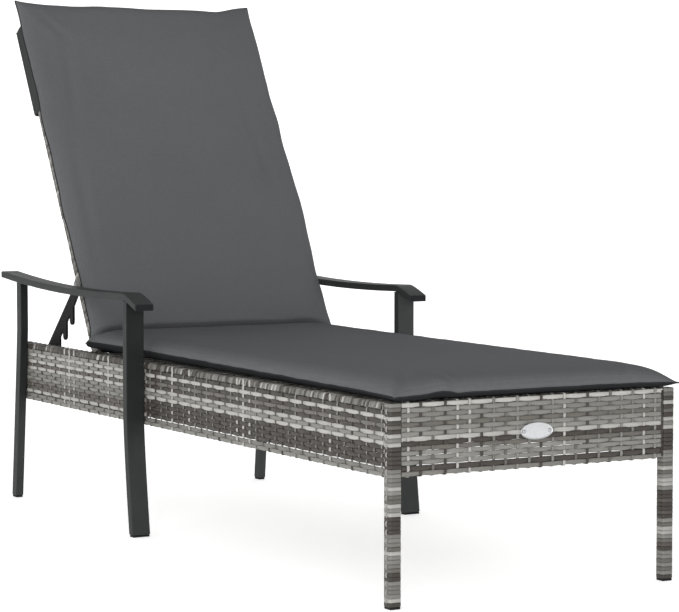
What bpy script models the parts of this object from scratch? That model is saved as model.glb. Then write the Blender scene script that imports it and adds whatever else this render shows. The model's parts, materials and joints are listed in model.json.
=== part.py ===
"""Reclining sun lounger: a rattan-wrapped bed on two woven foot legs, a flat-tube
armrest frame on each side, a hinged backrest and a notched strut that holds it up.

Units are metres, +Z is up. The foot end points to -Y, the head end to +Y, and the
lounger is mirror symmetric about X = 0. Everything hangs from one empty, so "bed
coordinates" below have Y = 0 on the front face of the foot legs.
"""

import math

import bmesh
import bpy
from mathutils import Matrix, Vector

# ---------------------------------------------------------------------------
# Driving dimensions
# ---------------------------------------------------------------------------
BED_WIDTH = 0.580            # outer faces of the side aprons
BED_LENGTH = 1.570           # foot leg front to head post rear
BED_TOP = 0.341              # top of the woven apron and of the seat deck
APRON_HEIGHT = 0.123
POST = 0.022                 # rattan-wrapped square leg and corner post
SKIN = 0.003                 # woven skin on an apron
TOP_LIP = 0.020              # how far the skin turns back over the top rail
LOW_RAIL = (0.0120, 0.0070)  # depth and height of the rail at the apron's lower edge
GAP = 0.0003                 # gap that touching pieces keep

GLIDE_HEIGHT = 0.004         # plastic end cap under each leg
RAIL_WALL = 0.0012           # steel tube wall
DECK_THICKNESS = 0.005
SEAT_END = 1.204             # rear edge of the seat deck
SEAT_BARS = (0.420, 0.800)   # cross tubes under the deck
BAR_DEPTH = 0.018

ARM_INNER = 0.2915           # inner face of the armrest frame
ARM_WIDTH = 0.040
ARM_THICKNESS = 0.0135
ARM_FRONT = 0.891            # front tip of the armrest
ARM_REAR = 1.577
ARM_DIP = 0.4745             # top of the armrest at its lowest point
ARM_DIP_AT = 1.130
ARM_REAR_RISE = 0.0210
ARM_BEND_AT = 0.950          # where the front tip starts to bend down
ARM_TIP_DROP = 0.0195
MID_LEG_FRONT = 0.936
MID_LEG_SECTION = (0.038, 0.018)      # across, along
MID_LEG_SPLAY = -0.026                # towards the foot end at the ground
MID_LEG_SPLAY_FROM = 0.235
REAR_LEG_FRONT = 1.522
REAR_LEG_SECTION = (0.017, 0.024)
REAR_LEG_SPLAY = 0.035                # towards the head end at the ground
REAR_LEG_SPLAY_FROM = 0.370

HINGE_Y = 1.228              # backrest hinge, in bed coordinates
HINGE_Z = 0.327
RECLINE = math.radians(61.0)          # backrest angle above level, as displayed
BACK_HALF_WIDTH = 0.264
BACK_DEPTH = 0.028           # thickness of the backrest frame
BACK_LENGTH = 0.7935         # hinge to the top end of the frame
STILE_WIDTH = 0.018
BACK_WEAVE = 0.0044

HOOD_LENGTH = 0.2050         # fabric pocket over the top of the backrest
HOOD_CLOTH = 0.0020

PAD_HALF_WIDTH = 0.286
PAD_THICKNESS = 0.033
SEAT_PAD_FRONT = -0.006
SEAT_PAD_END = 1.2045
BACK_PAD = (0.037, 0.842)    # start and end along the backrest
BACK_PAD_THICKNESS = 0.030
PAD_EDGE = 0.010

PIVOT_ALONG = 0.1845         # strut pivot, along the backrest from its hinge
PIVOT_BEHIND = 0.028         # and behind the backrest's middle plane
STRUT_ANGLE = math.radians(-43.3)     # strut direction in the world, at rest
STRUT_PLATE = 0.005
STRUT_PLATE_X = 0.250        # middle of each strut plate
STRUT_UPPER = 0.0125         # plate edge above the strut's axis
STRUT_LOWER = 0.0155         # plate edge below the strut's axis
STRUT_END = 0.278
FIRST_FINGER = 0.0546        # front of the first finger, along the strut
NOTCH_PITCH = 0.050
NOTCHES = 4
FINGER_WIDTH = 0.0175        # measured level, across the hanging finger
FINGER_DROP = 0.0310         # how far a finger hangs below the plate
PEG_RADIUS = 0.006
PEG_AT = (1.505, 0.291)      # notch peg on the bed frame, in bed coordinates

PIN_RADIUS = 0.005
PIN_HEAD = 0.008
STRUT_PIN_RADIUS = 0.004
STRUT_PIN_HEAD = 0.007
BORE_CLEARANCE = 0.0004

BADGE = (0.066, 0.029)       # blank oval plate on the foot apron
BADGE_THICKNESS = 0.0016
RIVET_SPREAD = 0.026

# Derived values
HALF = BED_WIDTH / 2
APRON_BOTTOM = BED_TOP - APRON_HEIGHT
INNER = HALF - POST
BACK_FACE = BACK_DEPTH / 2
HOOD_OUT = BACK_FACE + GAP + HOOD_CLOTH
HOOD_TOP = BACK_LENGTH + GAP + HOOD_CLOTH
Y_MIN = SEAT_PAD_FRONT
Y_MAX = HINGE_Y + HOOD_TOP * math.cos(RECLINE) + HOOD_OUT * math.sin(RECLINE)
SIDES = (("left", -1), ("right", 1))


# ---------------------------------------------------------------------------
# Scene and helpers
# ---------------------------------------------------------------------------
for old in list(bpy.data.objects):
    bpy.data.objects.remove(old, do_unlink=True)

COLLECTION = bpy.data.collections.new("sun_lounger")
bpy.context.scene.collection.children.link(COLLECTION)

# Planes for flat outlines: the columns are where local X, Y and Z point.
PLANE_YZ = Matrix(((0, 0, 1), (1, 0, 0), (0, 1, 0))).to_4x4()
PLANE_XZ = Matrix(((1, 0, 0), (0, 0, -1), (0, 1, 0))).to_4x4()
PLANE_XY = Matrix.Identity(4)


def material(name, colour, roughness, metallic=0.0):
    made = bpy.data.materials.new(name)
    made.use_nodes = True
    shader = made.node_tree.nodes["Principled BSDF"]
    shader.inputs["Base Color"].default_value = (*colour, 1.0)
    shader.inputs["Roughness"].default_value = roughness
    shader.inputs["Metallic"].default_value = metallic
    made.diffuse_color = (*colour, 1.0)
    return made


RATTAN = material("woven_rattan", (0.27, 0.26, 0.24), 0.55)
RATTAN_POST = material("rattan_wrap", (0.33, 0.32, 0.30), 0.55)
FRAME_STEEL = material("frame_steel", (0.045, 0.047, 0.050), 0.45, 0.6)
ARM_STEEL = material("armrest_coating", (0.050, 0.052, 0.054), 0.40, 0.3)
FITTING = material("zinc_fitting", (0.45, 0.46, 0.47), 0.35, 0.9)
GLIDE = material("glide_plastic", (0.020, 0.020, 0.022), 0.60)
CLOTH = material("cushion_cloth", (0.095, 0.098, 0.102), 0.90)
HOOD_FABRIC = material("hood_cloth", (0.040, 0.041, 0.043), 0.90)
BADGE_METAL = material("badge_metal", (0.62, 0.63, 0.65), 0.30, 0.9)


def empty(name, parent, location=(0, 0, 0), turn=0.0):
    made = bpy.data.objects.new(name, None)
    made.empty_display_size = 0.05
    made.location = location
    made.rotation_euler = (turn, 0, 0)
    made.parent = parent
    COLLECTION.objects.link(made)
    return made


def add(name, data, slot, parent, matrix=None):
    made = bpy.data.objects.new(name, data)
    data.materials.append(slot)
    made.parent = parent
    if matrix is not None:
        made.matrix_local = matrix
    COLLECTION.objects.link(made)
    return made


def bevel(made, width, segments=2):
    rounding = made.modifiers.new("Bevel", "BEVEL")
    rounding.width = width
    rounding.segments = segments
    rounding.limit_method = "ANGLE"
    return made


def box(name, low, high, slot, parent, edge=0.0, segments=2):
    """A block between two corners, with its origin in its middle."""
    low, high = Vector(low), Vector(high)
    mesh = bpy.data.meshes.new(name)
    shape = bmesh.new()
    bmesh.ops.create_cube(shape, size=1.0)
    size = high - low
    bmesh.ops.scale(shape, vec=size, verts=shape.verts)
    shape.to_mesh(mesh)
    shape.free()
    made = add(name, mesh, slot, parent, Matrix.Translation((low + high) / 2))
    if edge:
        bevel(made, edge, segments)
    return made


def wound(loop, turn):
    """The loop, reversed if need be to run counterclockwise (turn 1) or clockwise (-1)."""
    area = sum(a[0] * b[1] - b[0] * a[1] for a, b in zip(loop, loop[1:] + loop[:1]))
    return loop if area * turn > 0 else loop[::-1]


def outline(name, loops, plane, middle, thickness, slot, parent):
    """A flat outline, with any further loops as holes, extruded to a thickness."""
    loops = [wound(loops[0], 1)] + [wound(hole, -1) for hole in loops[1:]]
    curve = bpy.data.curves.new(name, "CURVE")
    curve.dimensions = "2D"
    curve.fill_mode = "BOTH"
    curve.extrude = thickness / 2
    for loop in loops:
        spline = curve.splines.new("POLY")
        spline.points.add(len(loop) - 1)
        for point, (across, up) in zip(spline.points, loop):
            point.co = (across, up, 0, 1)
        spline.use_cyclic_u = True
    return add(name, curve, slot, parent, Matrix.Translation(middle) @ plane)


def arc(centre, radius, start, end, steps):
    """Points along an arc, angles in degrees."""
    points = []
    for step in range(steps + 1):
        angle = math.radians(start + (end - start) * step / steps)
        points.append((centre[0] + radius * math.cos(angle),
                       centre[1] + radius * math.sin(angle)))
    return points


def circle(centre, radius, steps=20):
    return arc(centre, radius, 0, 360 * (steps - 1) / steps, steps - 1)


def rounded_rectangle(width, height, radius, steps=3):
    """A rectangle about the origin with rounded corners."""
    points = []
    for quarter, (sx, sy) in enumerate(((1, 1), (-1, 1), (-1, -1), (1, -1))):
        corner = (sx * (width / 2 - radius), sy * (height / 2 - radius))
        points += arc(corner, radius, 90 * quarter, 90 * quarter + 90, steps)
    return points


def tube(name, plane, middle, section, length, slot, parent, wall=RAIL_WALL, radius=0.002):
    """A straight rectangular tube, open at both ends."""
    outside = rounded_rectangle(section[0], section[1], radius)
    inside = rounded_rectangle(section[0] - 2 * wall, section[1] - 2 * wall, radius / 2)
    return outline(name, [outside, inside], plane, middle, length, slot, parent)


def channel(depth, height):
    """A C-shaped section, open towards +X, about its own middle. Its lower side is shallower."""
    x0, x1 = -depth / 2, depth / 2
    z0, z1 = -height / 2, height / 2
    x2 = x0 + LOW_RAIL[0] + 2 * SKIN + 2 * GAP
    z2 = z0 + LOW_RAIL[1] + SKIN + 2 * GAP
    return [(x0, z0), (x2, z0), (x2, z2), (x2 - SKIN, z2), (x2 - SKIN, z0 + SKIN),
            (x0 + SKIN, z0 + SKIN), (x0 + SKIN, z1 - SKIN), (x1 - SKIN, z1 - SKIN),
            (x1 - SKIN, z1 - TOP_LIP), (x1, z1 - TOP_LIP), (x1, z1), (x0, z1)]


def turned(name, profile, middle, slot, parent, towards=1, steps=20):
    """A piece turned about an axis along X. The profile lists (radius, distance)."""
    mesh = bpy.data.meshes.new(name)
    shape = bmesh.new()
    points = [shape.verts.new((radius, 0, distance)) for radius, distance in profile]
    for first, second in zip(points, points[1:]):
        shape.edges.new((first, second))
    shape.to_mesh(mesh)
    shape.free()
    turn = Matrix.Rotation(math.radians(90 * towards), 4, "Y")
    made = add(name, mesh, slot, parent, Matrix.Translation(middle) @ turn)
    screw = made.modifiers.new("Screw", "SCREW")
    screw.steps = steps
    screw.render_steps = steps
    screw.use_merge_vertices = True
    screw.merge_threshold = 0.0001
    return made


def headed_pin(shank, head, length, head_height):
    """A pin with a flat head at both ends, its length between the heads."""
    top, bottom = length / 2, -length / 2
    return [(0, top + head_height), (head, top + head_height), (head, top), (shank, top),
            (shank, bottom), (head, bottom), (head, bottom - head_height), (0, bottom - head_height)]


# ---------------------------------------------------------------------------
# Axes
# ---------------------------------------------------------------------------
LOUNGER = empty("lounger", None, (0, -(Y_MIN + Y_MAX) / 2, 0))
BACK = empty("recline_axis", LOUNGER, (0, HINGE_Y, HINGE_Z), RECLINE)
STRUT = empty("strut_axis", BACK, (0, PIVOT_ALONG, -PIVOT_BEHIND), STRUT_ANGLE - RECLINE)


# ---------------------------------------------------------------------------
# Bed frame
# ---------------------------------------------------------------------------
def foot_leg(side, sign):
    """A wrapped square leg flush with the foot corner, on a plastic glide."""
    x = sign * (HALF - POST / 2)
    bottom = GLIDE_HEIGHT + GAP
    tube(f"foot_leg_{side}", PLANE_XY, (x, POST / 2, (bottom + BED_TOP) / 2), (POST, POST),
         BED_TOP - bottom, RATTAN_POST, LOUNGER, wall=0.0035, radius=0.003)
    half = POST / 2 - 0.001
    box(f"glide_foot_{side}", (x - half, 0.001, 0), (x + half, POST - 0.001, GLIDE_HEIGHT),
        GLIDE, LOUNGER, 0.0010)


def head_post(side, sign):
    """The short wrapped post that closes the bed frame at its head corner."""
    x = sign * (HALF - POST / 2)
    tube(f"head_post_{side}", PLANE_XY,
         (x, BED_LENGTH - POST / 2, (APRON_BOTTOM + BED_TOP) / 2), (POST, POST),
         APRON_HEIGHT, RATTAN_POST, LOUNGER, wall=0.0035, radius=0.003)


def side_apron(side, sign):
    """Two steel rails between the corner posts, and the woven skin folded over them."""
    start, end = POST + GAP, BED_LENGTH - POST - GAP
    middle_y = (start + end) / 2
    x = sign * (HALF - POST / 2)
    section = [(-sign * a, b) for a, b in channel(POST, APRON_HEIGHT)]
    middle_z = (APRON_BOTTOM + BED_TOP) / 2
    outline(f"apron_{side}", [section], PLANE_XZ, (x, middle_y, middle_z), end - start,
            RATTAN, LOUNGER)
    rail = POST - 2 * SKIN - 2 * GAP
    tube(f"side_rail_top_{side}", PLANE_XZ, (x, middle_y, BED_TOP - SKIN - GAP - rail / 2),
         (rail, rail), end - start, FRAME_STEEL, LOUNGER)
    low_x = sign * (HALF - SKIN - GAP - LOW_RAIL[0] / 2)
    low_z = APRON_BOTTOM + SKIN + GAP + LOW_RAIL[1] / 2
    tube(f"side_rail_bottom_{side}", PLANE_XZ, (low_x, middle_y, low_z), LOW_RAIL,
         end - start, FRAME_STEEL, LOUNGER)


def foot_apron():
    """The woven apron across the foot end, set back a little from the legs."""
    set_back = 0.002
    depth = POST - set_back + 0.001
    length = 2 * (INNER - GAP)
    middle = (0, set_back + depth / 2, (APRON_BOTTOM + BED_TOP) / 2)
    outline("apron_foot", [channel(depth, APRON_HEIGHT)], PLANE_YZ, middle, length,
            RATTAN, LOUNGER)
    rail = depth - 2 * SKIN - 2 * GAP
    tube("foot_rail_top", PLANE_YZ, (0, middle[1], BED_TOP - SKIN - GAP - rail / 2),
         (rail, rail), length, FRAME_STEEL, LOUNGER)
    low = (0, set_back + SKIN + GAP + LOW_RAIL[0] / 2, APRON_BOTTOM + SKIN + GAP + LOW_RAIL[1] / 2)
    tube("foot_rail_bottom", PLANE_YZ, low, LOW_RAIL, length, FRAME_STEEL, LOUNGER)


def cross_members():
    """The tubes that join the two sides: under the deck, at its end, and at the head."""
    length = 2 * (INNER - GAP)
    deck_bottom = BED_TOP - DECK_THICKNESS - GAP
    for number, y in enumerate(SEAT_BARS, start=1):
        tube(f"seat_bar_{number}", PLANE_YZ, (0, y, deck_bottom - BAR_DEPTH / 2),
             (BAR_DEPTH, BAR_DEPTH), length, FRAME_STEEL, LOUNGER)
    tube("seat_end_rail", PLANE_YZ, (0, SEAT_END - POST / 2, deck_bottom - POST / 2),
         (POST, POST), length, RATTAN_POST, LOUNGER, wall=0.0035, radius=0.003)
    head = 0.017
    tube("head_rail", PLANE_YZ, (0, BED_LENGTH - POST / 2, APRON_BOTTOM + head / 2),
         (head, head), length, RATTAN_POST, LOUNGER, wall=0.003)


def seat_deck():
    """The woven deck that the seat cushion lies on."""
    half = INNER - GAP
    front = 0.024
    box("seat_deck", (-half, front, BED_TOP - DECK_THICKNESS), (half, SEAT_END, BED_TOP),
        RATTAN, LOUNGER)


# ---------------------------------------------------------------------------
# Armrest frames
# ---------------------------------------------------------------------------
def arm_top(y):
    """Height of the armrest's top: a shallow dip, a raised rear and a dropped tip."""
    if y >= ARM_DIP_AT:
        return ARM_DIP + ARM_REAR_RISE * ((y - ARM_DIP_AT) / (ARM_REAR - ARM_DIP_AT)) ** 2
    crown = ARM_DIP + 0.003 * ((ARM_DIP_AT - y) / (ARM_DIP_AT - ARM_BEND_AT)) ** 2
    if y >= ARM_BEND_AT:
        return crown
    bent = (ARM_BEND_AT - y) / (ARM_BEND_AT - ARM_FRONT)
    return ARM_DIP + 0.003 - ARM_TIP_DROP * bent ** 1.25


def arm_board(side, sign):
    """The flat armrest tube, seen from the side as one bent strip."""
    steps = 22
    bend_steps = 6
    stations = [ARM_FRONT + (ARM_BEND_AT - ARM_FRONT) * i / bend_steps for i in range(bend_steps)]
    stations += [ARM_BEND_AT + (ARM_REAR - ARM_BEND_AT) * i / steps for i in range(steps + 1)]
    top = [(y, arm_top(y)) for y in stations]
    bottom = [(y, arm_top(y) - ARM_THICKNESS) for y in reversed(stations)]
    x = sign * (ARM_INNER + ARM_WIDTH / 2)
    outline(f"armrest_{side}", [top + bottom], PLANE_YZ, (x, 0, 0), ARM_WIDTH,
            ARM_STEEL, LOUNGER)


def bent_leg(name, front, section, splay, splay_from, power, x, steps=9):
    """A flat tube that runs down from the armrest and splays below a given height."""
    def shift(z):
        return splay * (max(0.0, splay_from - z) / splay_from) ** power

    foot = GLIDE_HEIGHT + GAP
    heights = [foot + (splay_from - foot) * i / steps for i in range(steps + 1)]
    edges = []
    for offset in (0.0, section[1]):
        y = front + offset
        edge = [(y + shift(z), z) for z in heights]
        edge.append((y, arm_top(y) - ARM_THICKNESS - GAP))
        edges.append(edge)
    loop = edges[0] + edges[1][::-1]
    outline(name, [loop], PLANE_YZ, (x, 0, 0), section[0], ARM_STEEL, LOUNGER)
    return front + shift(0.0)


def arm_frame(side, sign):
    arm_board(side, sign)
    legs = (("mid", MID_LEG_FRONT, MID_LEG_SECTION, MID_LEG_SPLAY, MID_LEG_SPLAY_FROM, 1.3),
            ("rear", REAR_LEG_FRONT, REAR_LEG_SECTION, REAR_LEG_SPLAY, REAR_LEG_SPLAY_FROM, 1.08))
    for label, front, section, splay, splay_from, power in legs:
        x = sign * (ARM_INNER + section[0] / 2)
        foot_front = bent_leg(f"{label}_leg_{side}", front, section, splay, splay_from, power, x)
        half = section[0] / 2 - 0.001
        box(f"glide_{label}_{side}", (x - half, foot_front + 0.001, 0),
            (x + half, foot_front + section[1] - 0.001, GLIDE_HEIGHT), GLIDE, LOUNGER, 0.0010)


# ---------------------------------------------------------------------------
# Fittings on the bed frame
# ---------------------------------------------------------------------------
LUG_X = 0.2425
LUG_THICKNESS = 0.004
LUG_RADIUS = 0.013
CATCH_SHEET = 0.003
CATCH_SPAN = (1.480, 1.547)
LEDGE_TOP = HINGE_Z - BACK_FACE - 0.0005
LEDGE_REACH = 0.2568


def hinge_lug(side, sign):
    """A lug welded to the seat end rail, with the bore for the backrest's pin."""
    root = SEAT_END + GAP
    low, high = HINGE_Z - LUG_RADIUS, HINGE_Z + 0.008
    body = [(root, high), (root, low)] + arc((HINGE_Y, HINGE_Z), LUG_RADIUS, -90, 90, 8)
    bore = circle((HINGE_Y, HINGE_Z), PIN_RADIUS + BORE_CLEARANCE)
    outline(f"hinge_lug_{side}", [body, bore], PLANE_YZ, (sign * LUG_X, 0, 0), LUG_THICKNESS,
            FRAME_STEEL, LOUNGER)


def hinge_pin(side, sign):
    """The pin through the lug and the backrest's stile, headed at both ends."""
    head = 0.0024
    outer = BACK_HALF_WIDTH + GAP
    inner = LUG_X - LUG_THICKNESS / 2 - GAP
    turned(f"hinge_pin_{side}", headed_pin(PIN_RADIUS, PIN_HEAD, outer - inner, head),
           (sign * (outer + inner) / 2, HINGE_Y, HINGE_Z), FITTING, LOUNGER, sign)


def catch_plate(side, sign):
    """A plate inside each side rail: it carries the notch peg and a ledge for the backrest."""
    outer = INNER - GAP
    inner = outer - CATCH_SHEET
    low, high = APRON_BOTTOM + 0.004, BED_TOP - 0.003
    section = [(outer, low), (outer, high), (inner, high), (inner, LEDGE_TOP),
               (LEDGE_REACH, LEDGE_TOP), (LEDGE_REACH, LEDGE_TOP - CATCH_SHEET),
               (inner, LEDGE_TOP - CATCH_SHEET), (inner, low)]
    section = [(sign * x, z) for x, z in section]
    middle = sum(CATCH_SPAN) / 2
    outline(f"catch_plate_{side}", [section], PLANE_XZ, (0, middle, 0),
            CATCH_SPAN[1] - CATCH_SPAN[0], FRAME_STEEL, LOUNGER)


def notch_peg(side, sign):
    """The peg under the strut's notch. It stops 1 mm short of the strut plate."""
    outer = INNER - 2 * GAP - CATCH_SHEET
    inner = STRUT_PLATE_X + STRUT_PLATE / 2 + 0.001
    half = (outer - inner) / 2
    profile = [(0, half), (PEG_RADIUS, half), (PEG_RADIUS, 0.001 - half),
               (PEG_RADIUS - 0.001, -half), (0, -half)]
    turned(f"notch_peg_{side}", profile, (sign * (outer + inner) / 2, *PEG_AT), FITTING,
           LOUNGER, sign, 24)


def badge():
    """A blank oval plate, riveted to the middle of the foot apron."""
    z = (APRON_BOTTOM + BED_TOP) / 2 + 0.001
    y = 0.002 - GAP - BADGE_THICKNESS / 2
    oval = [(BADGE[0] / 2 * a, BADGE[1] / 2 * b) for a, b in circle((0, 0), 1.0, 32)]
    holes = [circle((spot, 0), 0.0018, 12) for spot in (-RIVET_SPREAD, RIVET_SPREAD)]
    outline("badge", [oval, *holes], PLANE_XZ, (0, y, z), BADGE_THICKNESS, BADGE_METAL, LOUNGER)
    front = 0.002 - 2 * GAP - BADGE_THICKNESS
    for label, spot in (("left", -RIVET_SPREAD), ("right", RIVET_SPREAD)):
        head = [(0.0035 * c, 0.0012 * s) for c, s in arc((0, 0), 1.0, 90, 0, 4)]
        head[0] = (0, 0.0012)
        profile = head + [(0.0014, 0), (0.0014, -BADGE_THICKNESS), (0, -BADGE_THICKNESS)]
        rivet = turned(f"badge_rivet_{label}", profile, (spot, front, z), FITTING, LOUNGER,
                       steps=12)
        rivet.matrix_local = Matrix.Translation((spot, front, z)) @ Matrix.Rotation(
            math.radians(90), 4, "X")


# ---------------------------------------------------------------------------
# Backrest, in its own axes: +Y runs up the backrest, +Z points out of its front
# ---------------------------------------------------------------------------
def stile(side, sign):
    """A wrapped upright with the hinge bore in its rounded lower end."""
    body = [(BACK_LENGTH, -BACK_FACE), (BACK_LENGTH, BACK_FACE)]
    body += arc((0, 0), BACK_FACE, 90, 270, 10)
    bore = circle((0, 0), PIN_RADIUS + BORE_CLEARANCE)
    x = sign * (BACK_HALF_WIDTH - STILE_WIDTH / 2)
    outline(f"back_stile_{side}", [body, bore], PLANE_YZ, (x, 0, 0), STILE_WIDTH,
            RATTAN_POST, BACK)


def back_rails():
    """Cross rails of the backrest, and the woven panel that covers them."""
    length = 2 * (BACK_HALF_WIDTH - STILE_WIDTH - GAP)
    rail = 0.018
    rails = (("bottom", 0.030 + rail / 2), ("middle", 0.400), ("top", BACK_LENGTH - rail / 2))
    for label, along in rails:
        tube(f"back_rail_{label}", PLANE_YZ, (0, along, 0), (rail, rail), length,
             FRAME_STEEL, BACK)
    front = BACK_FACE - GAP
    box("back_weave", (-length / 2, 0.022, front - BACK_WEAVE),
        (length / 2, BACK_LENGTH, front), RATTAN, BACK)


def hood():
    """The cushion's fabric pocket: five cloth walls, open towards the hinge."""
    half = BACK_HALF_WIDTH + GAP
    depth = BACK_FACE + GAP
    start = HOOD_TOP - HOOD_LENGTH
    mesh = bpy.data.meshes.new("cushion_hood")
    shape = bmesh.new()
    bmesh.ops.create_cube(shape, size=1.0)
    bmesh.ops.scale(shape, vec=(2 * half, HOOD_LENGTH - HOOD_CLOTH, 2 * depth),
                    verts=shape.verts)
    mouth = [face for face in shape.faces if face.normal.y < -0.5]
    bmesh.ops.delete(shape, geom=mouth, context="FACES_ONLY")
    shape.to_mesh(mesh)
    shape.free()
    middle = (0, start + (HOOD_LENGTH - HOOD_CLOTH) / 2, 0)
    made = add("cushion_hood", mesh, HOOD_FABRIC, BACK, Matrix.Translation(middle))
    shell = made.modifiers.new("Solidify", "SOLIDIFY")
    shell.thickness = HOOD_CLOTH
    shell.offset = 1.0
    shell.use_even_offset = True


def strut_ear(side, sign):
    """A lug on the back of the stile that carries the strut's pivot pin."""
    thickness = 0.004
    x = sign * (STRUT_PLATE_X + STRUT_PLATE / 2 + 0.001 + thickness / 2)
    foot = -BACK_FACE - GAP
    radius = 0.009
    reach = 0.020
    body = [(PIVOT_ALONG + reach, foot), (PIVOT_ALONG - reach, foot)]
    body += arc((PIVOT_ALONG, -PIVOT_BEHIND), radius, 200, 340, 8)
    bore = circle((PIVOT_ALONG, -PIVOT_BEHIND), STRUT_PIN_RADIUS + BORE_CLEARANCE, 16)
    outline(f"strut_ear_{side}", [body, bore], PLANE_YZ, (x, 0, 0), thickness, FRAME_STEEL, BACK)


def strut_pin(side, sign):
    """The pin through the ear and the strut plate, headed at both ends."""
    head = 0.0022
    outer = STRUT_PLATE_X + STRUT_PLATE / 2 + 0.001 + 0.004 + GAP
    inner = STRUT_PLATE_X - STRUT_PLATE / 2 - GAP
    middle = (sign * (outer + inner) / 2, PIVOT_ALONG, -PIVOT_BEHIND)
    turned(f"strut_pin_{side}", headed_pin(STRUT_PIN_RADIUS, STRUT_PIN_HEAD, outer - inner, head),
           middle, FITTING, BACK, sign, 16)


# ---------------------------------------------------------------------------
# Strut, in its own axes: +Y runs down the strut, +Z points to its upper side
# ---------------------------------------------------------------------------
def strut_plate(side, sign):
    """A notched plate: a straight bar with fingers that hang straight down at rest."""
    down = (math.sin(-STRUT_ANGLE), -math.cos(STRUT_ANGLE))
    foot_width = FINGER_WIDTH / math.cos(STRUT_ANGLE)
    tip_radius = FINGER_WIDTH / 2
    straight = FINGER_DROP - tip_radius
    loop = arc((0, 0), STRUT_UPPER, 90, 230, 8)
    for number in range(NOTCHES + 1):
        front = FIRST_FINGER + NOTCH_PITCH * number
        if number == NOTCHES:
            foot_width = STRUT_END - front
        rear = front + foot_width
        width = foot_width * math.cos(STRUT_ANGLE)
        radius = width / 2
        loop.append((front, -STRUT_LOWER))
        middle = ((front + rear) / 2 + down[0] * straight, -STRUT_LOWER + down[1] * straight)
        facing = math.degrees(STRUT_ANGLE)
        loop += arc(middle, radius, 180 - facing, 360 - facing, 6)
        loop.append((rear, -STRUT_LOWER))
    loop += arc((STRUT_END - 0.004, STRUT_UPPER - 0.004), 0.004, 0, 90, 3)
    bore = circle((0, 0), STRUT_PIN_RADIUS + BORE_CLEARANCE, 16)
    outline(f"strut_plate_{side}", [loop, bore], PLANE_YZ, (sign * STRUT_PLATE_X, 0, 0),
            STRUT_PLATE, FRAME_STEEL, STRUT)


def strut_tie():
    """The round tube that joins the two strut plates near their free ends."""
    half = STRUT_PLATE_X - STRUT_PLATE / 2 - GAP
    radius = 0.006
    wall = 0.0012
    loops = [circle((0, 0), radius, 20), circle((0, 0), radius - wall, 20)]
    outline("strut_tie", loops, PLANE_YZ, (0, STRUT_END - 0.016, -0.001), 2 * half,
            FRAME_STEEL, STRUT)


# ---------------------------------------------------------------------------
# Cushion
# ---------------------------------------------------------------------------
def cushions():
    """The seat half on the deck and the back half on the backrest, as plain solids."""
    bottom = BED_TOP + GAP
    box("seat_pad", (-PAD_HALF_WIDTH, SEAT_PAD_FRONT, bottom),
        (PAD_HALF_WIDTH, SEAT_PAD_END, bottom + PAD_THICKNESS), CLOTH, LOUNGER, PAD_EDGE)
    front = HOOD_OUT + GAP
    box("back_pad", (-PAD_HALF_WIDTH, BACK_PAD[0], front),
        (PAD_HALF_WIDTH, BACK_PAD[1], front + BACK_PAD_THICKNESS), CLOTH, BACK, PAD_EDGE)


# ---------------------------------------------------------------------------
# Assembly
# ---------------------------------------------------------------------------
for label, sign_x in SIDES:
    foot_leg(label, sign_x)
    head_post(label, sign_x)
    side_apron(label, sign_x)
    arm_frame(label, sign_x)
    hinge_lug(label, sign_x)
    hinge_pin(label, sign_x)
    catch_plate(label, sign_x)
    notch_peg(label, sign_x)
    stile(label, sign_x)
    strut_ear(label, sign_x)
    strut_pin(label, sign_x)
    strut_plate(label, sign_x)
foot_apron()
cross_members()
seat_deck()
badge()
back_rails()
hood()
strut_tie()
cushions()

bpy.context.view_layer.update()
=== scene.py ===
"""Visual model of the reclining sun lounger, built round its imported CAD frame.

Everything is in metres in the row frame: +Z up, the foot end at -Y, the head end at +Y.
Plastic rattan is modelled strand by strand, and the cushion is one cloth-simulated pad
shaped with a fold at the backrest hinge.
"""

import json
import math
import random

import bmesh
import bpy
import numpy as np
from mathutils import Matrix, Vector


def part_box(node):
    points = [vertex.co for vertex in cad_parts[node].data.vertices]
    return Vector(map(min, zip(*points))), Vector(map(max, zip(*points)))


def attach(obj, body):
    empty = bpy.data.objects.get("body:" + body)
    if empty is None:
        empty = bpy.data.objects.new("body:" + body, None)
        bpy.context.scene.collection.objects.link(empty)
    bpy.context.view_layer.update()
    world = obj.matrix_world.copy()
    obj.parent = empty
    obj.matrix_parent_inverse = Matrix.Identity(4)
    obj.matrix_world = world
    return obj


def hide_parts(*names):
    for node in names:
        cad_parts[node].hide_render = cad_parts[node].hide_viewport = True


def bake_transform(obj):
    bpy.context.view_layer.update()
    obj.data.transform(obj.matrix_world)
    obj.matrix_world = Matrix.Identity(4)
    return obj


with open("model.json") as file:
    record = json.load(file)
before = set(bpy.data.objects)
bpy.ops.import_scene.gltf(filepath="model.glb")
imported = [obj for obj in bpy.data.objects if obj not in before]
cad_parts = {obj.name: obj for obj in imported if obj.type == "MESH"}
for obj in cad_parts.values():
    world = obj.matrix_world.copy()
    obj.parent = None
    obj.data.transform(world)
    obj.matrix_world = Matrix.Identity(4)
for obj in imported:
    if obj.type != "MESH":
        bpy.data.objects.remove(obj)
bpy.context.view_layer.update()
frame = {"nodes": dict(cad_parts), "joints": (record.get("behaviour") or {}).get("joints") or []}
NODES = frame["nodes"]

# ---- Camera ----
CAMERA_PLACE = (-2.3456, -4.2337, 0.7429)
CAMERA_YAW = 29.798          # degrees from +Y towards +X
CAMERA_PITCH = -3.468
CAMERA_LENS = 130.17         # on a 36 mm wide sensor

camera = bpy.data.objects.new("camera", bpy.data.cameras.new("camera"))
camera.data.sensor_width = 36.0
camera.data.lens = CAMERA_LENS
camera.location = CAMERA_PLACE
camera.rotation_euler = (math.radians(90 + CAMERA_PITCH), 0, math.radians(-CAMERA_YAW))
bpy.context.scene.collection.objects.link(camera)
bpy.context.scene.camera = camera

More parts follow.
